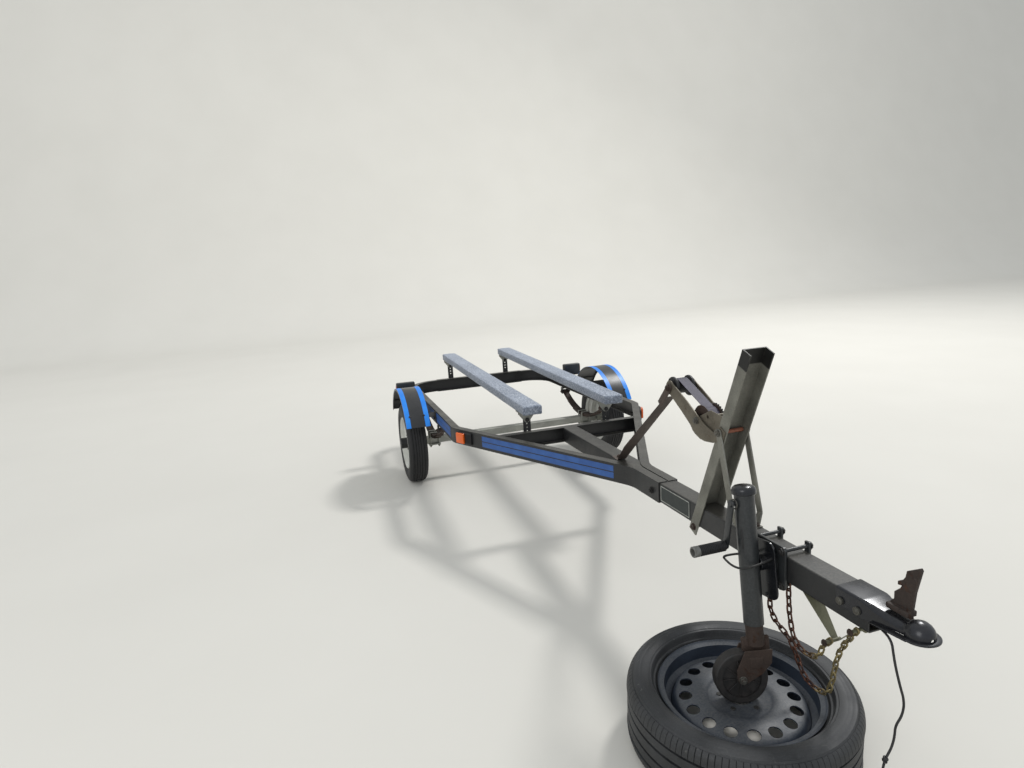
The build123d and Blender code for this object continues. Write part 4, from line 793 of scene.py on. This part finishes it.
ROLLER_HALF = [
    (23, 24), (25, 24.5), (26, 34.5), (28, 36.6), (32, 37), (34.5, 36.2), (36.5, 33.5), (36.5, 6.6),
]
shape = turned([(-offset, radius) for offset, radius in ROLLER_HALF[::-1]] + ROLLER_HALF, 48)
at_roller = TRAILER @ POST @ Matrix.Translation((*ROLLER_AT, 0))
place("keel_roller", shape, "soft_rubber", "roller", at_roller, ("bow_roller",))
shape = bmesh.new()
pin(shape, ROLLER_AT, -58, 56, 6)
for sign in (-1, 1):
    pin(shape, ROLLER_AT, sign * 36.9, sign * 42.2, 9)
place("roller_bolt", shape, "rusted_steel", replaced=("bow_roller_pin",))

# Winch: cheeks on the post's back, a drum between the bow plates, its gear and pinion
PINION_AT = (66.4, 326.1)
CHEEK = [(0, 374), (11, 370), (63, 355), (107, 301), (78, 287), (20, 289), (0, 289)]
shape = bmesh.new()
for low in (-39, 36):
    flat(shape, CHEEK, low, low + 3, POST)
slab(shape, (3, 85, 72), POST @ Matrix.Translation((1.5, 331.5, 0)), 0.6, 1)
pin(shape, PINION_AT, -39, 65, 6)
place("winch_cheeks", shape, "arm_zinc", replaced=("winch_frame",))
shape = bmesh.new()
pin(shape, DRUM_AT, -25, 25, 22, 32)
pin(shape, DRUM_AT, -57, 57, 6)
for sign in (-1, 1):
    pin(shape, DRUM_AT, sign * 22.5, sign * 25, 49, 48)
place("strap_drum", shape, "rusted_steel", replaced=("winch_drum",))
TEETH = 26
GEAR_FACES = (25.4, 31.4)
tooth_line = ((-0.32, 46), (-0.15, 51), (0.15, 51), (0.32, 46))
gear = [
    around(DRUM_AT, radius, (tooth + share) * 2 * pi / TEETH)
    for tooth in range(TEETH) for share, radius in tooth_line
]
shape = bmesh.new()
flat(shape, gear, *GEAR_FACES, POST, 0.4)
pin(shape, PINION_AT, *GEAR_FACES, 8)
place("drum_gear", shape, "black_bolts", replaced=("winch_gear",))

# Struts: from the rod through the post down to tabs bolted on top of the tongue
STRUT_X = 50.1
STRUT_WIDE, STRUT_THICK = 25, 5
STRUT_FOOT = (34, -2491)
STRUT_BEND = 0.885
strut_top = on_post(THROUGH_AT, 0)
shape = bmesh.new()
for sign in (-1, 1):
    top = Vector((sign * STRUT_X, strut_top.y, strut_top.z))
    foot = Vector((sign * STRUT_FOOT[0], STRUT_FOOT[1], TONGUE_TOP + 3))
    bend = top.lerp(Vector((sign * STRUT_X, foot.y, foot.z)), STRUT_BEND)
    for start, end in ((top, bend), (bend, foot)):
        bar(shape, start, end, STRUT_WIDE, STRUT_THICK, ACROSS)
    half = ACROSS * STRUT_THICK / 2
    rod(shape, top - half, top + half, STRUT_WIDE / 2, 32)
    tab = Matrix.Translation((sign * 21, -2500, TONGUE_TOP + STRUT_THICK / 2))
    slab(shape, (27, 34, STRUT_THICK), tab, 0.8, 2)
pin(shape, THROUGH_AT, -62, 62, 6)
place("post_struts", shape, "dull_zinc", replaced=("winch_struts",))

# Brace: flat bar from an ear on the roller's bolt down to a foot on top of the tongue
BRACE_NEAR = -52.9
BRACE_THICK = 5
roller_mid = on_post(ROLLER_AT, 0)
ear_low = Vector((roller_mid.y, roller_mid.z - 17.4))
fold = Vector((-1780, TONGUE_TOP + 85))
down = (fold - ear_low).normalized()
sole = TONGUE_TOP + BRACE_THICK / 2
brace_line = [tuple(ear_low + down * 32), tuple(fold), (-1690, sole), (-1631, sole)]
brace_reach = [(BRACE_NEAR, BRACE_NEAR + 44), (-61, -4), (-48, -8), (-43, -8)]
shape = bmesh.new()
strip(shape, brace_line, brace_reach, BRACE_THICK, SIDE)
ear_x = BRACE_NEAR + BRACE_THICK / 2
ear_end = (ear_x, *(ear_low + down * 84))
bar(shape, (ear_x, *roller_mid.yz), ear_end, 28, BRACE_THICK, ACROSS)
rod(shape, (BRACE_NEAR, *roller_mid.yz), (BRACE_NEAR + BRACE_THICK, *roller_mid.yz), 14, 32)
place("bow_stay", shape, "brown_bar", replaced=("bow_brace",))

# Coupler: pressed sheet over the tongue's end, drawn in to a domed socket with a lip
SOCKET = Vector((0, -3092, 470))
DOME, DOME_RIM = 33.0, 466
COUPLER_WALL = 3.0
# Each section: its place along the trailer, half width, top, lower edge and corner radius
COUPLER_SECTIONS = [
    (-2889, 42, 502, 452, 7), (-2966, 42, 502, 452, 7), (-2976, 41, 501, 453, 9), (-2996, 37.5, 496, 456, 13),
    (-3030, 33.5, 491, 461, 18), (-3056, 30, 490.5, 465, 21), (-3070, 29, 491, DOME_RIM, 22),
]
for along in (-17, -13, -7, 0, 9, 17, 23, 28, 31, 32.5):
    reach = (DOME**2 - along**2) ** 0.5
    COUPLER_SECTIONS.append((SOCKET.y - along, reach, SOCKET.z + reach, DOME_RIM, reach * 0.98))
shape = bmesh.new()
last = []
for y, half, top, low, corner in COUPLER_SECTIONS:
    side_line = [(half, low)]
    side_line += [around((half - corner, top - corner), corner, step * pi / 12) for step in range(7)]
    arch = [shape.verts.new((x, y, z)) for x, z in side_line + [(-x, z) for x, z in side_line[::-1]]]
    edges = [shape.edges.new(pair) for pair in zip(arch, arch[1:])]
    if last:
        bmesh.ops.bridge_loops(shape, edges=last + edges)
    last = edges
bmesh.ops.recalc_face_normals(shape, faces=shape.faces)
bmesh.ops.solidify(shape, geom=shape.faces[:], thickness=COUPLER_WALL)
place("coupler_shell", shape, "coupler_enamel", replaced=("coupler",), sharp=50)
shape = turned([(-4, 30), (-4, 41.5), (-3, 43), (0, 43), (1, 41.5), (1, 30)], 32, pi, pi)
bmesh.ops.translate(shape, vec=SOCKET - COUPLER_WALL * UPRIGHT, verts=shape.verts)
for sign in (-1, 1):
    bar(shape, (sign * 36, -3094, 465), (sign * 37.5, -2994, 457), 17, 4, UPRIGHT)
place("coupler_lip", shape, "coupler_enamel", sharp=50)

# Latch: a notched lever on a saddle, as distances behind the socket and above the tongue
LATCH = [
    (82, 5), (82, 12), (68, 28), (68, 46), (53, 61), (49, 69), (60, 67), (60, 76), (47, 84), (41, 94),
    (38, 110), (6, 130), (2, 125), (15, 66), (21, 12), (21, -3),
]
shape = bmesh.new()
flat(shape, [(SOCKET.y + back, TONGUE_TOP + rise) for back, rise in LATCH], -5, 5, SIDE, 1.2)
slab(shape, (30, 60, 14), Matrix.Translation((0, SOCKET.y + 51.5, 507)), 3.0, 3)
rod(shape, (-17, SOCKET.y + 44, 509), (17, SOCKET.y + 44, 509), 4.5)
rod(shape, (-6.2, SOCKET.y + 17, 594), (6.2, SOCKET.y + 17, 594), 6)
place("latch_lever", shape, "latch_rust", replaced=("coupler_latch",))

# Foot: flat bar folded to a V under the tongue, narrowing to its tip
FOOT_TOP = TONGUE_TOP - 78.5
FOOT_BOLTS = ((-2858, 324), (-2946, 405))
shape = bmesh.new()
foot_line = [(-2740, FOOT_TOP), (-2754, FOOT_TOP), (-2855, 315), (-2950, FOOT_TOP), (-2964, FOOT_TOP)]
strip(shape, foot_line, [(-26.5, 26.5)] * 2 + [(-9, 9)] * 3, 5, SIDE)
slab(shape, (9, 14, 24), Matrix.Translation((-4.5, -2946, 408)), 1.0, 2)
for at in FOOT_BOLTS:
    rod(shape, (-42, *at), (9, *at), 4.5)
place("v_foot", shape, "foot_olive", replaced=("tongue_foot",))

# Jack: plates clamped on the tongue, a swivel plate, the crank and the bail of its lock pin
CLAMP_Y, CLAMP_Z = (-2585, -2698), (408, 512)
SWIVEL_MID = (-2641.5, 460)
CHAIN_BOLT = (-2655.5, 367)
shape = bmesh.new()
flat(shape, rounded(139, 130, 11, SWIVEL_MID), -46, -38, SIDE, 1.0)
for y in CLAMP_Y:
    slab(shape, (8, 19, 130), Matrix.Translation((42, y, SWIVEL_MID[1])), 1.5, 2)
    for z in CLAMP_Z:
        rod(shape, (-53, y, z), (57, y, z), 5.5)
rod(shape, (-46, *SWIVEL_MID), (-56, *SWIVEL_MID), 40, 48)
place("tongue_clamp", shape, "jack_coat", replaced=("jack_bracket",))
shape = bmesh.new()
plate = frame_of((-59.4, SWIVEL_MID[0], 440), JACK_BACK, JACK_UP, ACROSS)
flat(shape, rounded(104, 171, 26), -3, 3, plate, 1.0)
rod(shape, (-62, *SWIVEL_MID), (-84, *SWIVEL_MID), 22, 32)
rod(shape, (-66, *CHAIN_BOLT), (-40, *CHAIN_BOLT), 4.5)
place("swivel_plate", shape, "swivel_gloss", replaced=("jack_swivel",))
CRANK_AT, GRIP_AT = (0, 195), (40.35, 63.0)
shape = bmesh.new()
rod(shape, on_jack(-27, *CRANK_AT), on_jack(-50, *CRANK_AT), 8)
bar(shape, on_jack(-45, *CRANK_AT), on_jack(-45, *GRIP_AT), 22, 6, ACROSS)
for at in (CRANK_AT, GRIP_AT):
    rod(shape, on_jack(-42, *at), on_jack(-48, *at), 11, 32)
rod(shape, on_jack(-42, *GRIP_AT), on_jack(-150, *GRIP_AT), 5)
place("crank_arm", shape, "jack_coat", replaced=("jack_crank",))
CAP = [(217, 33), (218, 34), (229, 34), (235, 32), (240, 26), (243.5, 14), (244.5, 0)]
shape = turned(CAP, 40, closed=False)
place("jack_cap", shape, "swivel_gloss", spot=TRAILER @ JACK)
shape = turned(wire_ring(2, 13.5), 32)
ring_at = TRAILER @ JACK @ Matrix.Translation((-35, 0, 192)) @ Matrix.Rotation(pi / 2, 4, "Y")
place("crank_ring", shape, "plated_bolts", spot=ring_at, sharp=80)
# A thin dark sliver on the jack tube: painted shade standing for the inside of its height slot
slot_turn = Matrix.Rotation(radians(206.7), 4, "Z") @ Matrix.Translation((28.4, 0, 92))
shape = bmesh.new()
slab(shape, (1.0, 6.5, 56), slot_turn, 0.4, 2)
place("slot_shade_sliver", shape, "black_vinyl_and_slot_shade", spot=TRAILER @ JACK)
BAIL = [
    (-62, -2676.4, 484), (-110, -2677, 474), (-158, -2676.4, 472), (-182, -2662, 480), (-190, -2638, 492),
    (-178, -2612, 488), (-133, -2599.4, 480), (-100, -2599.4, 475), (-62, -2599.4, 470),
]
shape = bmesh.new()
shape.from_mesh(mesh_from(round_line("bail", BAIL, 3.3, 6, 2)))
place("lock_pin_bail", shape, "black_bolts", sharp=60)

# Fork: two cheeks with a pressed panel on each, and a block between them at the leg
jack_root = TRAILER @ on_jack(0, 0, 0)
leg_up = (TRAILER.to_3x3() @ JACK_UP).normalized()
trail = CASTER_AT - jack_root
trail = (trail - leg_up * trail.dot(leg_up)).normalized()
FORK = frame_of(CASTER_AT, trail, -leg_up, trail.cross(-leg_up)) @ MILLIMETRES
FORK_CHEEK = [
    (-90, -84), (-12, -84), (15, -30), (15, -4), (10, 10), (0, 14), (-14, 10), (-58, -14), (-86, -44),
]
shape = bmesh.new()
for side, low in ((-1, -29), (1, 25)):
    flat(shape, FORK_CHEEK, low, low + 4, Matrix.Identity(4), 1.0)
    slab(shape, (40, 33, 5), Matrix.Translation((-42, -48, side * 29.5)), 2.4, 3)
slab(shape, (80, 58, 13), Matrix.Translation((-51, -84.5, 0)), 4.0, 3)
rod(shape, (0, 0, -37), (0, 0, 37), 6.5)
place("fork_cheeks", shape, "rusted_steel", "leg", FORK, ("caster_fork",))
CASTER_RIBS = 9
shape = bmesh.new()
for side in (-1, 1):
    for rib in range(CASTER_RIBS):
        turn = Matrix.Rotation(2 * pi * rib / CASTER_RIBS, 4, "Z")
        slab(shape, (38, 3, 5.5), turn @ Matrix.Translation((35, 0, side * 16.6)), 0.8, 2)
place("caster_ribs", shape, "caster_rubber", "caster", FORK)

# Rim of the lying wheel: a rolled barrel and a dished centre with round holes
DISH = 143.2
RIM_HOLES = 16
HOLE_CIRCLE, HOLE_RADIUS = 155, 19
HOLES_INNER, HOLES_OUTER = 130, 178
RIM_WALL = 3.4
CENTRE_LINE = [
    (DISH, 32), (DISH, 87), (DISH + 3, 91), (DISH + 6, 97), (DISH + 8, 110), (DISH + 7, HOLES_INNER),
]
EDGE_LINE = [(DISH + 1, HOLES_OUTER), (DISH - 6, 186), (DISH - 24, 192), (LYING_MIDDLE + 2, 198)]
BARREL_LINE = [
    (176.5, 234), (173.5, 232), (170.5, 227), (166.5, 218), (LYING_MIDDLE + 26, 215),
    (LYING_MIDDLE + 14, 198), (LYING_MIDDLE - 20, 198), (LYING_MIDDLE - 34, 215), (38.5, 218),
    (34.5, 227), (31.5, 232), (28.5, 234),
]
LUGS, LUG_CIRCLE = 5, 57


def dish_rise(radius):
    """Height of the dish over its middle face at a distance from the wheel's centre."""
    steps = [(32, 0), (87, 0), (97, 6), (110, 8), (130, 7), (150, 6), (178, 1)]
    for (near, low), (far, high) in zip(steps, steps[1:]):
        if radius <= far + 0.01:
            return low + (high - low) * (radius - near) / (far - near)
    return 0


def pierced_ring(shape, inner, outer, circle, hole, count, steps):
    """Add a dished ring with a ring of round holes through it."""
    half = pi / count
    corners = [(outer, -half), (outer, half), (inner, half), (inner, -half)]
    border = []
    for start, end in zip(corners, corners[1:] + corners[:1]):
        for step in range(steps):
            radius, turn = (low + (high - low) * step / steps for low, high in zip(start, end))
            border.append(shape.verts.new((radius * cos(turn), radius * sin(turn), 0)))
    edges = [shape.edges.new(pair) for pair in zip(border, border[1:] + border[:1])]
    ring = bmesh.ops.create_circle(
        shape, segments=4 * steps, radius=hole, matrix=Matrix.Translation((circle, 0, 0))
    )["verts"]
    edges += edges_of(ring)
    faces = bmesh.ops.bridge_loops(shape, edges=edges)["faces"]
    tile = list(dict.fromkeys(vert for face in faces for vert in face.verts)) + faces
    bmesh.ops.spin(
        shape, geom=tile, cent=(0, 0, 0), axis=(0, 0, 1), angle=2 * pi - 2 * half, steps=count - 1,
        use_duplicate=True,
    )


shape = bmesh.new()
pierced_ring(shape, HOLES_INNER, HOLES_OUTER, HOLE_CIRCLE, HOLE_RADIUS, RIM_HOLES, 6)
for vert in shape.verts:
    vert.co.z = DISH + dish_rise(hypot(vert.co.x, vert.co.y))
for line, steps in ((CENTRE_LINE, 96), (EDGE_LINE, 96), (BARREL_LINE, 120)):
    join(shape, turned(line, steps, pi / RIM_HOLES, closed=False))
bmesh.ops.remove_doubles(shape, verts=shape.verts, dist=0.05)
bmesh.ops.recalc_face_normals(shape, faces=shape.faces)
bmesh.ops.solidify(shape, geom=shape.faces[:], thickness=RIM_WALL)
place("lying_rim", shape, "wheel_enamel", spot=LYING, replaced=("spare_rim",), sharp=40)
# Black discs at the five lug holes, which the solid dish lacks: painted shade standing for the holes
shape = bmesh.new()
for lug in range(LUGS):
    at = Matrix.Rotation(lug * 2 * pi / LUGS, 3, "Z") @ Vector((LUG_CIRCLE, 0, DISH))
    rod(shape, at - Vector((0, 0, 2)), at + Vector((0, 0, 2.2)), 7.5)
place("lug_hole_shade_discs", shape, "black_bolts", spot=LYING)

# Chains: round welded links, each square to the next
CHAINS = {
    "long": [
        (-51, -2655.5, 367.5), (-49, -2657, 318), (-34, -2664, 276), (-10, -2690, 232), (1, -2712, 180),
        (6, -2732, 138), (8, -2775, 122), (7, -2818, 138), (5, -2837, 180), (1, -2851, 236), (-5, -2871, 294),
        (-14, -2906, 352), (-30, -2949.5, 408.5),
    ],
    "short": [
        (-22, -2698, 413.9), (-22, -2699, 380), (-24, -2705, 330), (-26, -2714, 298), (-28, -2733, 257),
        (-28, -2775, 241), (-27, -2817, 257), (-26, -2838, 298), (-24, -2860.5, 328.3),
    ],
}
LINK_WIRE = 2.7
LINK_BEND = 6.6
LINK_PITCH = 24.0


def link_joints(points):
    """Where the links of a chain meet, evenly spaced on the smooth curve through some points."""
    data, holder = curve_object("hang", 24)
    spline = data.splines.new("BEZIER")
    spline.bezier_points.add(len(points) - 1)
    for control, point in zip(spline.bezier_points, points):
        control.co = point
        control.handle_left_type = control.handle_right_type = "AUTO"
    line = [vert.co.copy() for vert in mesh_from(holder).vertices]
    lengths = [(after - before).length for before, after in zip(line, line[1:])]
    whole = sum(lengths)
    count = 2 * round(whole / LINK_PITCH / 2) + 1
    places = []
    covered, index = 0.0, 0
    for order in range(count + 1):
        wanted = whole * order / count
        while index < len(lengths) - 1 and covered + lengths[index] < wanted:
            covered += lengths[index]
            index += 1
        places.append(line[index].lerp(line[index + 1], (wanted - covered) / lengths[index]))
    return places


def chain_link(shape, start, end, lies_across):
    """Add a stadium-shaped link of round wire between two joints."""
    run = end - start
    run_dir = run.normalized()
    wide_dir = run_dir.cross(ACROSS).normalized()
    if lies_across:
        wide_dir = run_dir.cross(wide_dir)
    spot = frame_of((start + end) / 2, run_dir, wide_dir, run_dir.cross(wide_dir))
    wire_at = Matrix.Translation((LINK_BEND, 0, 0)) @ Matrix.Rotation(pi / 2, 4, "X")
    made = bmesh.ops.create_circle(shape, segments=8, radius=LINK_WIRE, matrix=wire_at)["verts"]
    before = set(shape.verts) - set(made)
    bmesh.ops.spin(
        shape, geom=made + edges_of(made), cent=(0, 0, 0), axis=(0, 0, 1), angle=2 * pi, steps=16,
        use_merge=True,
    )
    new_verts = [vert for vert in shape.verts if vert not in before]
    shift = run.length / 2 + 0.5 + LINK_WIRE - LINK_BEND
    for vert in new_verts:
        vert.co.x += shift if vert.co.x > 0.1 else -shift if vert.co.x < -0.1 else 0
    bmesh.ops.transform(shape, matrix=spot, verts=new_verts)


for name, points in CHAINS.items():
    shape = bmesh.new()
    meets = link_joints(points)
    for order, (start, end) in enumerate(zip(meets, meets[1:])):
        chain_link(shape, start, end, order % 2 == 1)
    place(f"hanging_chain_{name}", shape, "chain_steel", sharp=80)

# Wiring cable: out of the tongue's open end, limp, with a knot in it, down to its flat plug
CABLE_WIRE = 3.0
TONGUE_CABLE = [TRAILER @ Vector((0, -2958, 429.3)), TRAILER @ Vector((0, -3017, 429.3))]
HANGING_CABLE = [
    (-4, 3028, 464), (4, 3040, 407), (24, 3041, 353), (20, 3041, 316), (2, 3040, 292), (4, 3039, 262),
    (-4, 3040, 232), (-24, 3041, 206), (-32, 3043, 172), (-26, 3047, 132), (-10, 3052, 92), (0, 3053, 51),
    (16, 3056, 17), (44, 3062, 4), (72, 3058, 4), (96, 3046, 4),
]
route = TONGUE_CABLE + [Vector((x / 1000, AXLE.y - ahead / 1000, z / 1000)) for x, ahead, z in HANGING_CABLE]
cable = round_line("trailer_cable", route, CABLE_WIRE / 1000, 8, 3)
cable.data.materials.append(look["black_vinyl_and_slot_shade"])
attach(cable, "trailer")

# The knot: turns of the cable round itself, each leaning its own way
shape = bmesh.new()
for lift, tilt in ((0, 24), (3.4, -18), (6.8, 20)):
    loop = turned(wire_ring(2.6, 4.6), steps=20)
    leaning = Matrix.Translation((0, 0, lift)) @ Matrix.Rotation(radians(tilt), 4, "X")
    bmesh.ops.transform(loop, matrix=leaning, verts=loop.verts)
    join(shape, loop)
KNOT_AT = Vector((-0.024, AXLE.y - 3.041, 0.203))
knot_at = Matrix.Translation(KNOT_AT) @ Matrix.Rotation(radians(24), 4, "Y") @ MILLIMETRES
knot = place("cable_knot", shape, "black_vinyl_and_slot_shade", spot=knot_at, sharp=80)

# The plug: a flat moulded block with a ribbed grip
plug_dir = (route[-1] - route[-2]).normalized()
plug_spot = frame_of(route[-1], plug_dir, UPRIGHT.cross(plug_dir), UPRIGHT) @ MILLIMETRES
shape = bmesh.new()
slab(shape, (30, 25, 9.4), Matrix.Translation((29, 0, 1.6)), 2.0)
slab(shape, (18, 17, 8.0), Matrix.Translation((9, 0, 1.0)), 2.0)
for rib in range(4):
    slab(shape, (1.6, 18.6, 9.2), Matrix.Translation((3 + 4 * rib, 0, 1.2)), 0.5, 2)
plug = place("trailer_plug", shape, "black_vinyl_and_slot_shade", spot=plug_spot)

# Stripes of blue film: two along each rail, and one along each edge of the fenders
FILM = 0.5
STRIPE_TALL, STRIPE_Z = 25.5, (476.5, 446.5)
SPLAY_STRIPE = (968, 1722)
SIDE_STRIPE = (690, -560)
FENDER_RADIUS = 356.1
FENDER_STRIPES = ((-72.5, -43.5), (43.5, 72.5))
SPLAY_END = 1808


def on_splay(side, ahead, z, lift=0.0):
    """A drawing on a rail's splayed outer face: x forward along the rail, y up, z outwards."""
    forward = Vector((-side * RAIL_SPLAY, -1, 0)) / SPLAY_LENGTH
    outward = Vector((side, -RAIL_SPLAY, 0)) / SPLAY_LENGTH
    at = Vector((side * (TONGUE_HALF + RAIL_SPLAY * (SPLAY_END - ahead)), -ahead, z)) + outward * lift
    return frame_of(at, forward, outward.cross(forward), outward)


for name, side in SIDES:
    shape = bmesh.new()
    for z in STRIPE_Z:
        long = (SPLAY_STRIPE[1] - SPLAY_STRIPE[0]) * SPLAY_LENGTH
        slab(shape, (long, STRIPE_TALL, FILM), on_splay(side, sum(SPLAY_STRIPE) / 2, z, FILM / 2))
        long = SIDE_STRIPE[0] - SIDE_STRIPE[1]
        at = Matrix.Translation((side * (RAIL_SIDE_X + FILM / 2), -sum(SIDE_STRIPE) / 2, z))
        slab(shape, (FILM, long, STRIPE_TALL), at)
    place(f"rail_stripes_{name}", shape, "faded_film")
    shape = bmesh.new()
    for edges in FENDER_STRIPES:
        line = [(edge, FENDER_RADIUS) for edge in edges]
        band = turned(line, 60, radians(118), radians(124), closed=False)
        bmesh.ops.solidify(band, geom=band.faces[:], thickness=FILM)
        join(shape, band)
    place(f"fender_stripes_{name}", shape, "bright_film", spot=from_wheel(side))

# Name plate: blank, inside a fine pale line
PLATE_AT = Vector((-39.7, -2127.5, 463))
PLATE_WIDE, PLATE_TALL = 189, 56
LINE_WIDE, LINE_DEEP = 2.2, 0.6
shape = bmesh.new()
for sign in (1, -1):
    at = PLATE_AT + sign * UPRIGHT * PLATE_TALL / 2
    slab(shape, (LINE_DEEP, PLATE_WIDE, LINE_WIDE), Matrix.Translation(at))
for sign in (1, -1):
    at = PLATE_AT + sign * BEHIND * PLATE_WIDE / 2
    slab(shape, (LINE_DEEP, LINE_WIDE, PLATE_TALL), Matrix.Translation(at))
place("plate_border", shape, "plate_border")

# Lamps: smoked housings with ribbed lenses, and amber side markers
LAMP_X, LAMP_Z = 633, 536
MARKER_AHEAD, MARKER_LENS_AHEAD = 847.5, 828
for name, side in SIDES:
    shape = bmesh.new()
    slab(shape, (130, 42, 78), Matrix.Translation((side * LAMP_X, 426, LAMP_Z)), 8.0, 4)
    slab(shape, (122, 6, 70), Matrix.Translation((side * LAMP_X, 447, LAMP_Z)), 2.5, 2)
    place(f"lamp_housing_{name}", shape, "lamp_housing", replaced=("tail_lights",))
    shape = bmesh.new()
    slab(shape, (116, 15, 64), Matrix.Translation((side * LAMP_X, 454, LAMP_Z)), 4.5, 4)
    slab(shape, (5, 30, 34), Matrix.Translation((side * 698.5, 428, 540)), 2.0, 3)
    place(f"lamp_lens_{name}", shape, "red_acrylic", replaced=("tail_lenses",))
    shape = bmesh.new()
    slab(shape, (112, 62, 10), on_splay(side, MARKER_AHEAD, RAIL_MIDDLE, 5), 3.5, 3)
    for ahead in range(867, 896, 7):
        slab(shape, (2.2, 50, 4), on_splay(side, ahead, RAIL_MIDDLE, 10), 0.8, 2)
    place(f"marker_housing_{name}", shape, "black_plastic", replaced=("marker_bases",))
    shape = bmesh.new()
    slab(shape, (60, 55, 14), on_splay(side, MARKER_LENS_AHEAD, RAIL_MIDDLE, 17), 4.0, 4)
    place(f"marker_lens_{name}", shape, "amber_acrylic", replaced=("marker_lenses",))

# Grip of the jack's crank: black rubber rings on a sleeve that is open at its end
grip_spot = TRAILER @ JACK @ frame_of((-48.6, *GRIP_AT), UPRIGHT, -BEHIND, -ACROSS)
GRIP_RINGS, RING_PITCH = 15, 5.6
RING = ((3.0, 13.6), (4.2, 15.8), (6.8, 15.8), (8.0, 13.6))
rings = [(offset + RING_PITCH * ring, radius) for ring in range(GRIP_RINGS) for offset, radius in RING]
shape = turned([(0.4, 6.0), (0.4, 12.4)] + rings + [(91, 13.2), (91, 6.0)], 40)
place("crank_grip", shape, "soft_rubber", spot=grip_spot, replaced=("jack_grip",))
SLEEVE = [(89, 5.6), (89, 15.9), (106.5, 15.9), (107.6, 14.8), (107.6, 11.2), (94, 11.2), (94, 5.6)]
place("grip_end", turned(SLEEVE, 40), "grip_sleeve", spot=grip_spot)

# Rust shows on the rod where it crosses inside the post
POST_INSIDE = 37.6
through = [(-POST_INSIDE, 0.0), (-POST_INSIDE, 6.7), (POST_INSIDE, 6.7), (POST_INSIDE, 0.0)]
shape = turned(through, 20, closed=False)
through_spot = TRAILER @ POST @ Matrix.Translation((*THROUGH_AT, 0))
place("through_rod", shape, "coppery_rod", spot=through_spot)


# Nuts and bolts: where each stands, which way it faces, and the width across its nut
WASHER = 1.6
SPRING_X, SPRING_EYE = 537, (330, 390)
FENDER_TOP, FENDER_LEAN = 355.8, radians(39.9)
POST_FOOT = (-20.5, -82)


def bolt(shape, at, towards, across_nut, tall, stud):
    """Add a hex nut on a washer, with the end of the bolt proud of it."""
    spot = facing(at, towards)
    for segments, radius, low, high in (
        (28, across_nut * 0.66, 0, WASHER), (6, across_nut * 0.577, WASHER, tall),
        (16, across_nut * 0.3, tall, tall + stud),
    ):
        made = bmesh.ops.create_cone(
            shape, cap_ends=True, segments=segments, radius1=radius, radius2=radius, depth=high - low,
            matrix=spot @ Matrix.Translation((0, 0, (low + high) / 2)),
        )["verts"]
        ease(shape, made, 0.5)


LEFT, RIGHT, UP, DOWN, AHEAD, BACK = (1, 0, 0), (-1, 0, 0), (0, 0, 1), (0, 0, -1), (0, -1, 0), (0, 1, 0)
plated, rusty, black = [], [], []
for sign, way, other_way in ((1, LEFT, RIGHT), (-1, RIGHT, LEFT)):
    plated.append((on_post(DRUM_AT, sign * 47.4), way, 20))
    plated.append((on_post(THROUGH_AT, sign * 52.4), way, 20))
    rusty.append((on_post(ROLLER_AT, 47.2 if sign > 0 else -52.7), way, 20))
    rusty.append((on_post(POST_FOOT, sign * 41.8), way, 19))
    rusty.append(((sign * 20, -2505, 502.8), UP, 17))
    black.append(((sign * TONGUE_HALF, -1964, 453), way, 22))
    plated += [((sign * 41.8, y, 468), way, 15) for y in (-2905, -2958)]
    black += [((sign * 45.8, y, z), way, 19) for y in CLAMP_Y for z in CLAMP_Z]
    for end in (-1, 1):
        rusty.append(((sign * (SPRING_X + 27), end * SPRING_EYE[0], SPRING_EYE[1]), way, 20))
        rusty.append(((sign * (SPRING_X - 27), end * SPRING_EYE[0], SPRING_EYE[1]), other_way, 20))
        black.append(((sign * 564.3, end * 262, 452), way, 15))
        plated += [((sign * SPRING_X + leg, end * 27.8, 221.7), DOWN, 17) for leg in (-27.3, 27.3)]
        outward = Vector((0, end * cos(FENDER_LEAN), sin(FENDER_LEAN)))
        for over in (-42, 42):
            at = Vector((sign * (WHEEL_X + over), 0, TYRE_RADIUS)) + FENDER_TOP * outward
            black.append((at, outward, 11))
    for y, z in ((-1028, 559.4), (802, 600.5)):
        black.append(((sign * BUNK_AT[0], y, z), AHEAD, 17))
    plated += [((sign * BUNK_AT[0], y, z), BACK, 14) for z in (452, 478) for y in (-1014.8, 814.8)]
rusty.append(((-20.6, -1655, 502.8), UP, 17))
rusty += [((x, *at), RIGHT, 14) for x, at in zip((-43, -49), FOOT_BOLTS)]
for name, table, finish, slot in (
    ("plated", plated, "plated_bolts", "galvanised"), ("rusty", rusty, "rusted_steel", "rusty_steel"),
    ("black", black, "black_bolts", "frame_black"),
):
    shape = bmesh.new()
    for at, towards, across_nut in table:
        bolt(shape, at, towards, across_nut, 0.36 * across_nut, 0.2 * across_nut)
    place(f"{name}_bolts", shape, finish)

shape = bmesh.new()
for sign in (-1, 1):
    bolt(shape, CASTER_AT * 1000 + CASTER_AXIS * (sign * 29), CASTER_AXIS * sign, 18, 7, 4)
place("caster_bolt", shape, "plated_bolts", "leg", MILLIMETRES)

# Wheel nuts on the road wheels
NUTS, NUT_CIRCLE, FIRST_NUT = 5, 48, 0.3
RIM_FACE = 21
for name, side in SIDES:
    shape = bmesh.new()
    for nut in range(NUTS):
        at = around((0, 0), NUT_CIRCLE, 2 * pi * nut / NUTS + FIRST_NUT)
        bolt(shape, (*at, side * RIM_FACE), (0, 0, side), 19, 11, 5)
    place(f"wheel_nuts_{name}", shape, "plated_bolts", f"{name}_wheel", from_wheel(side))
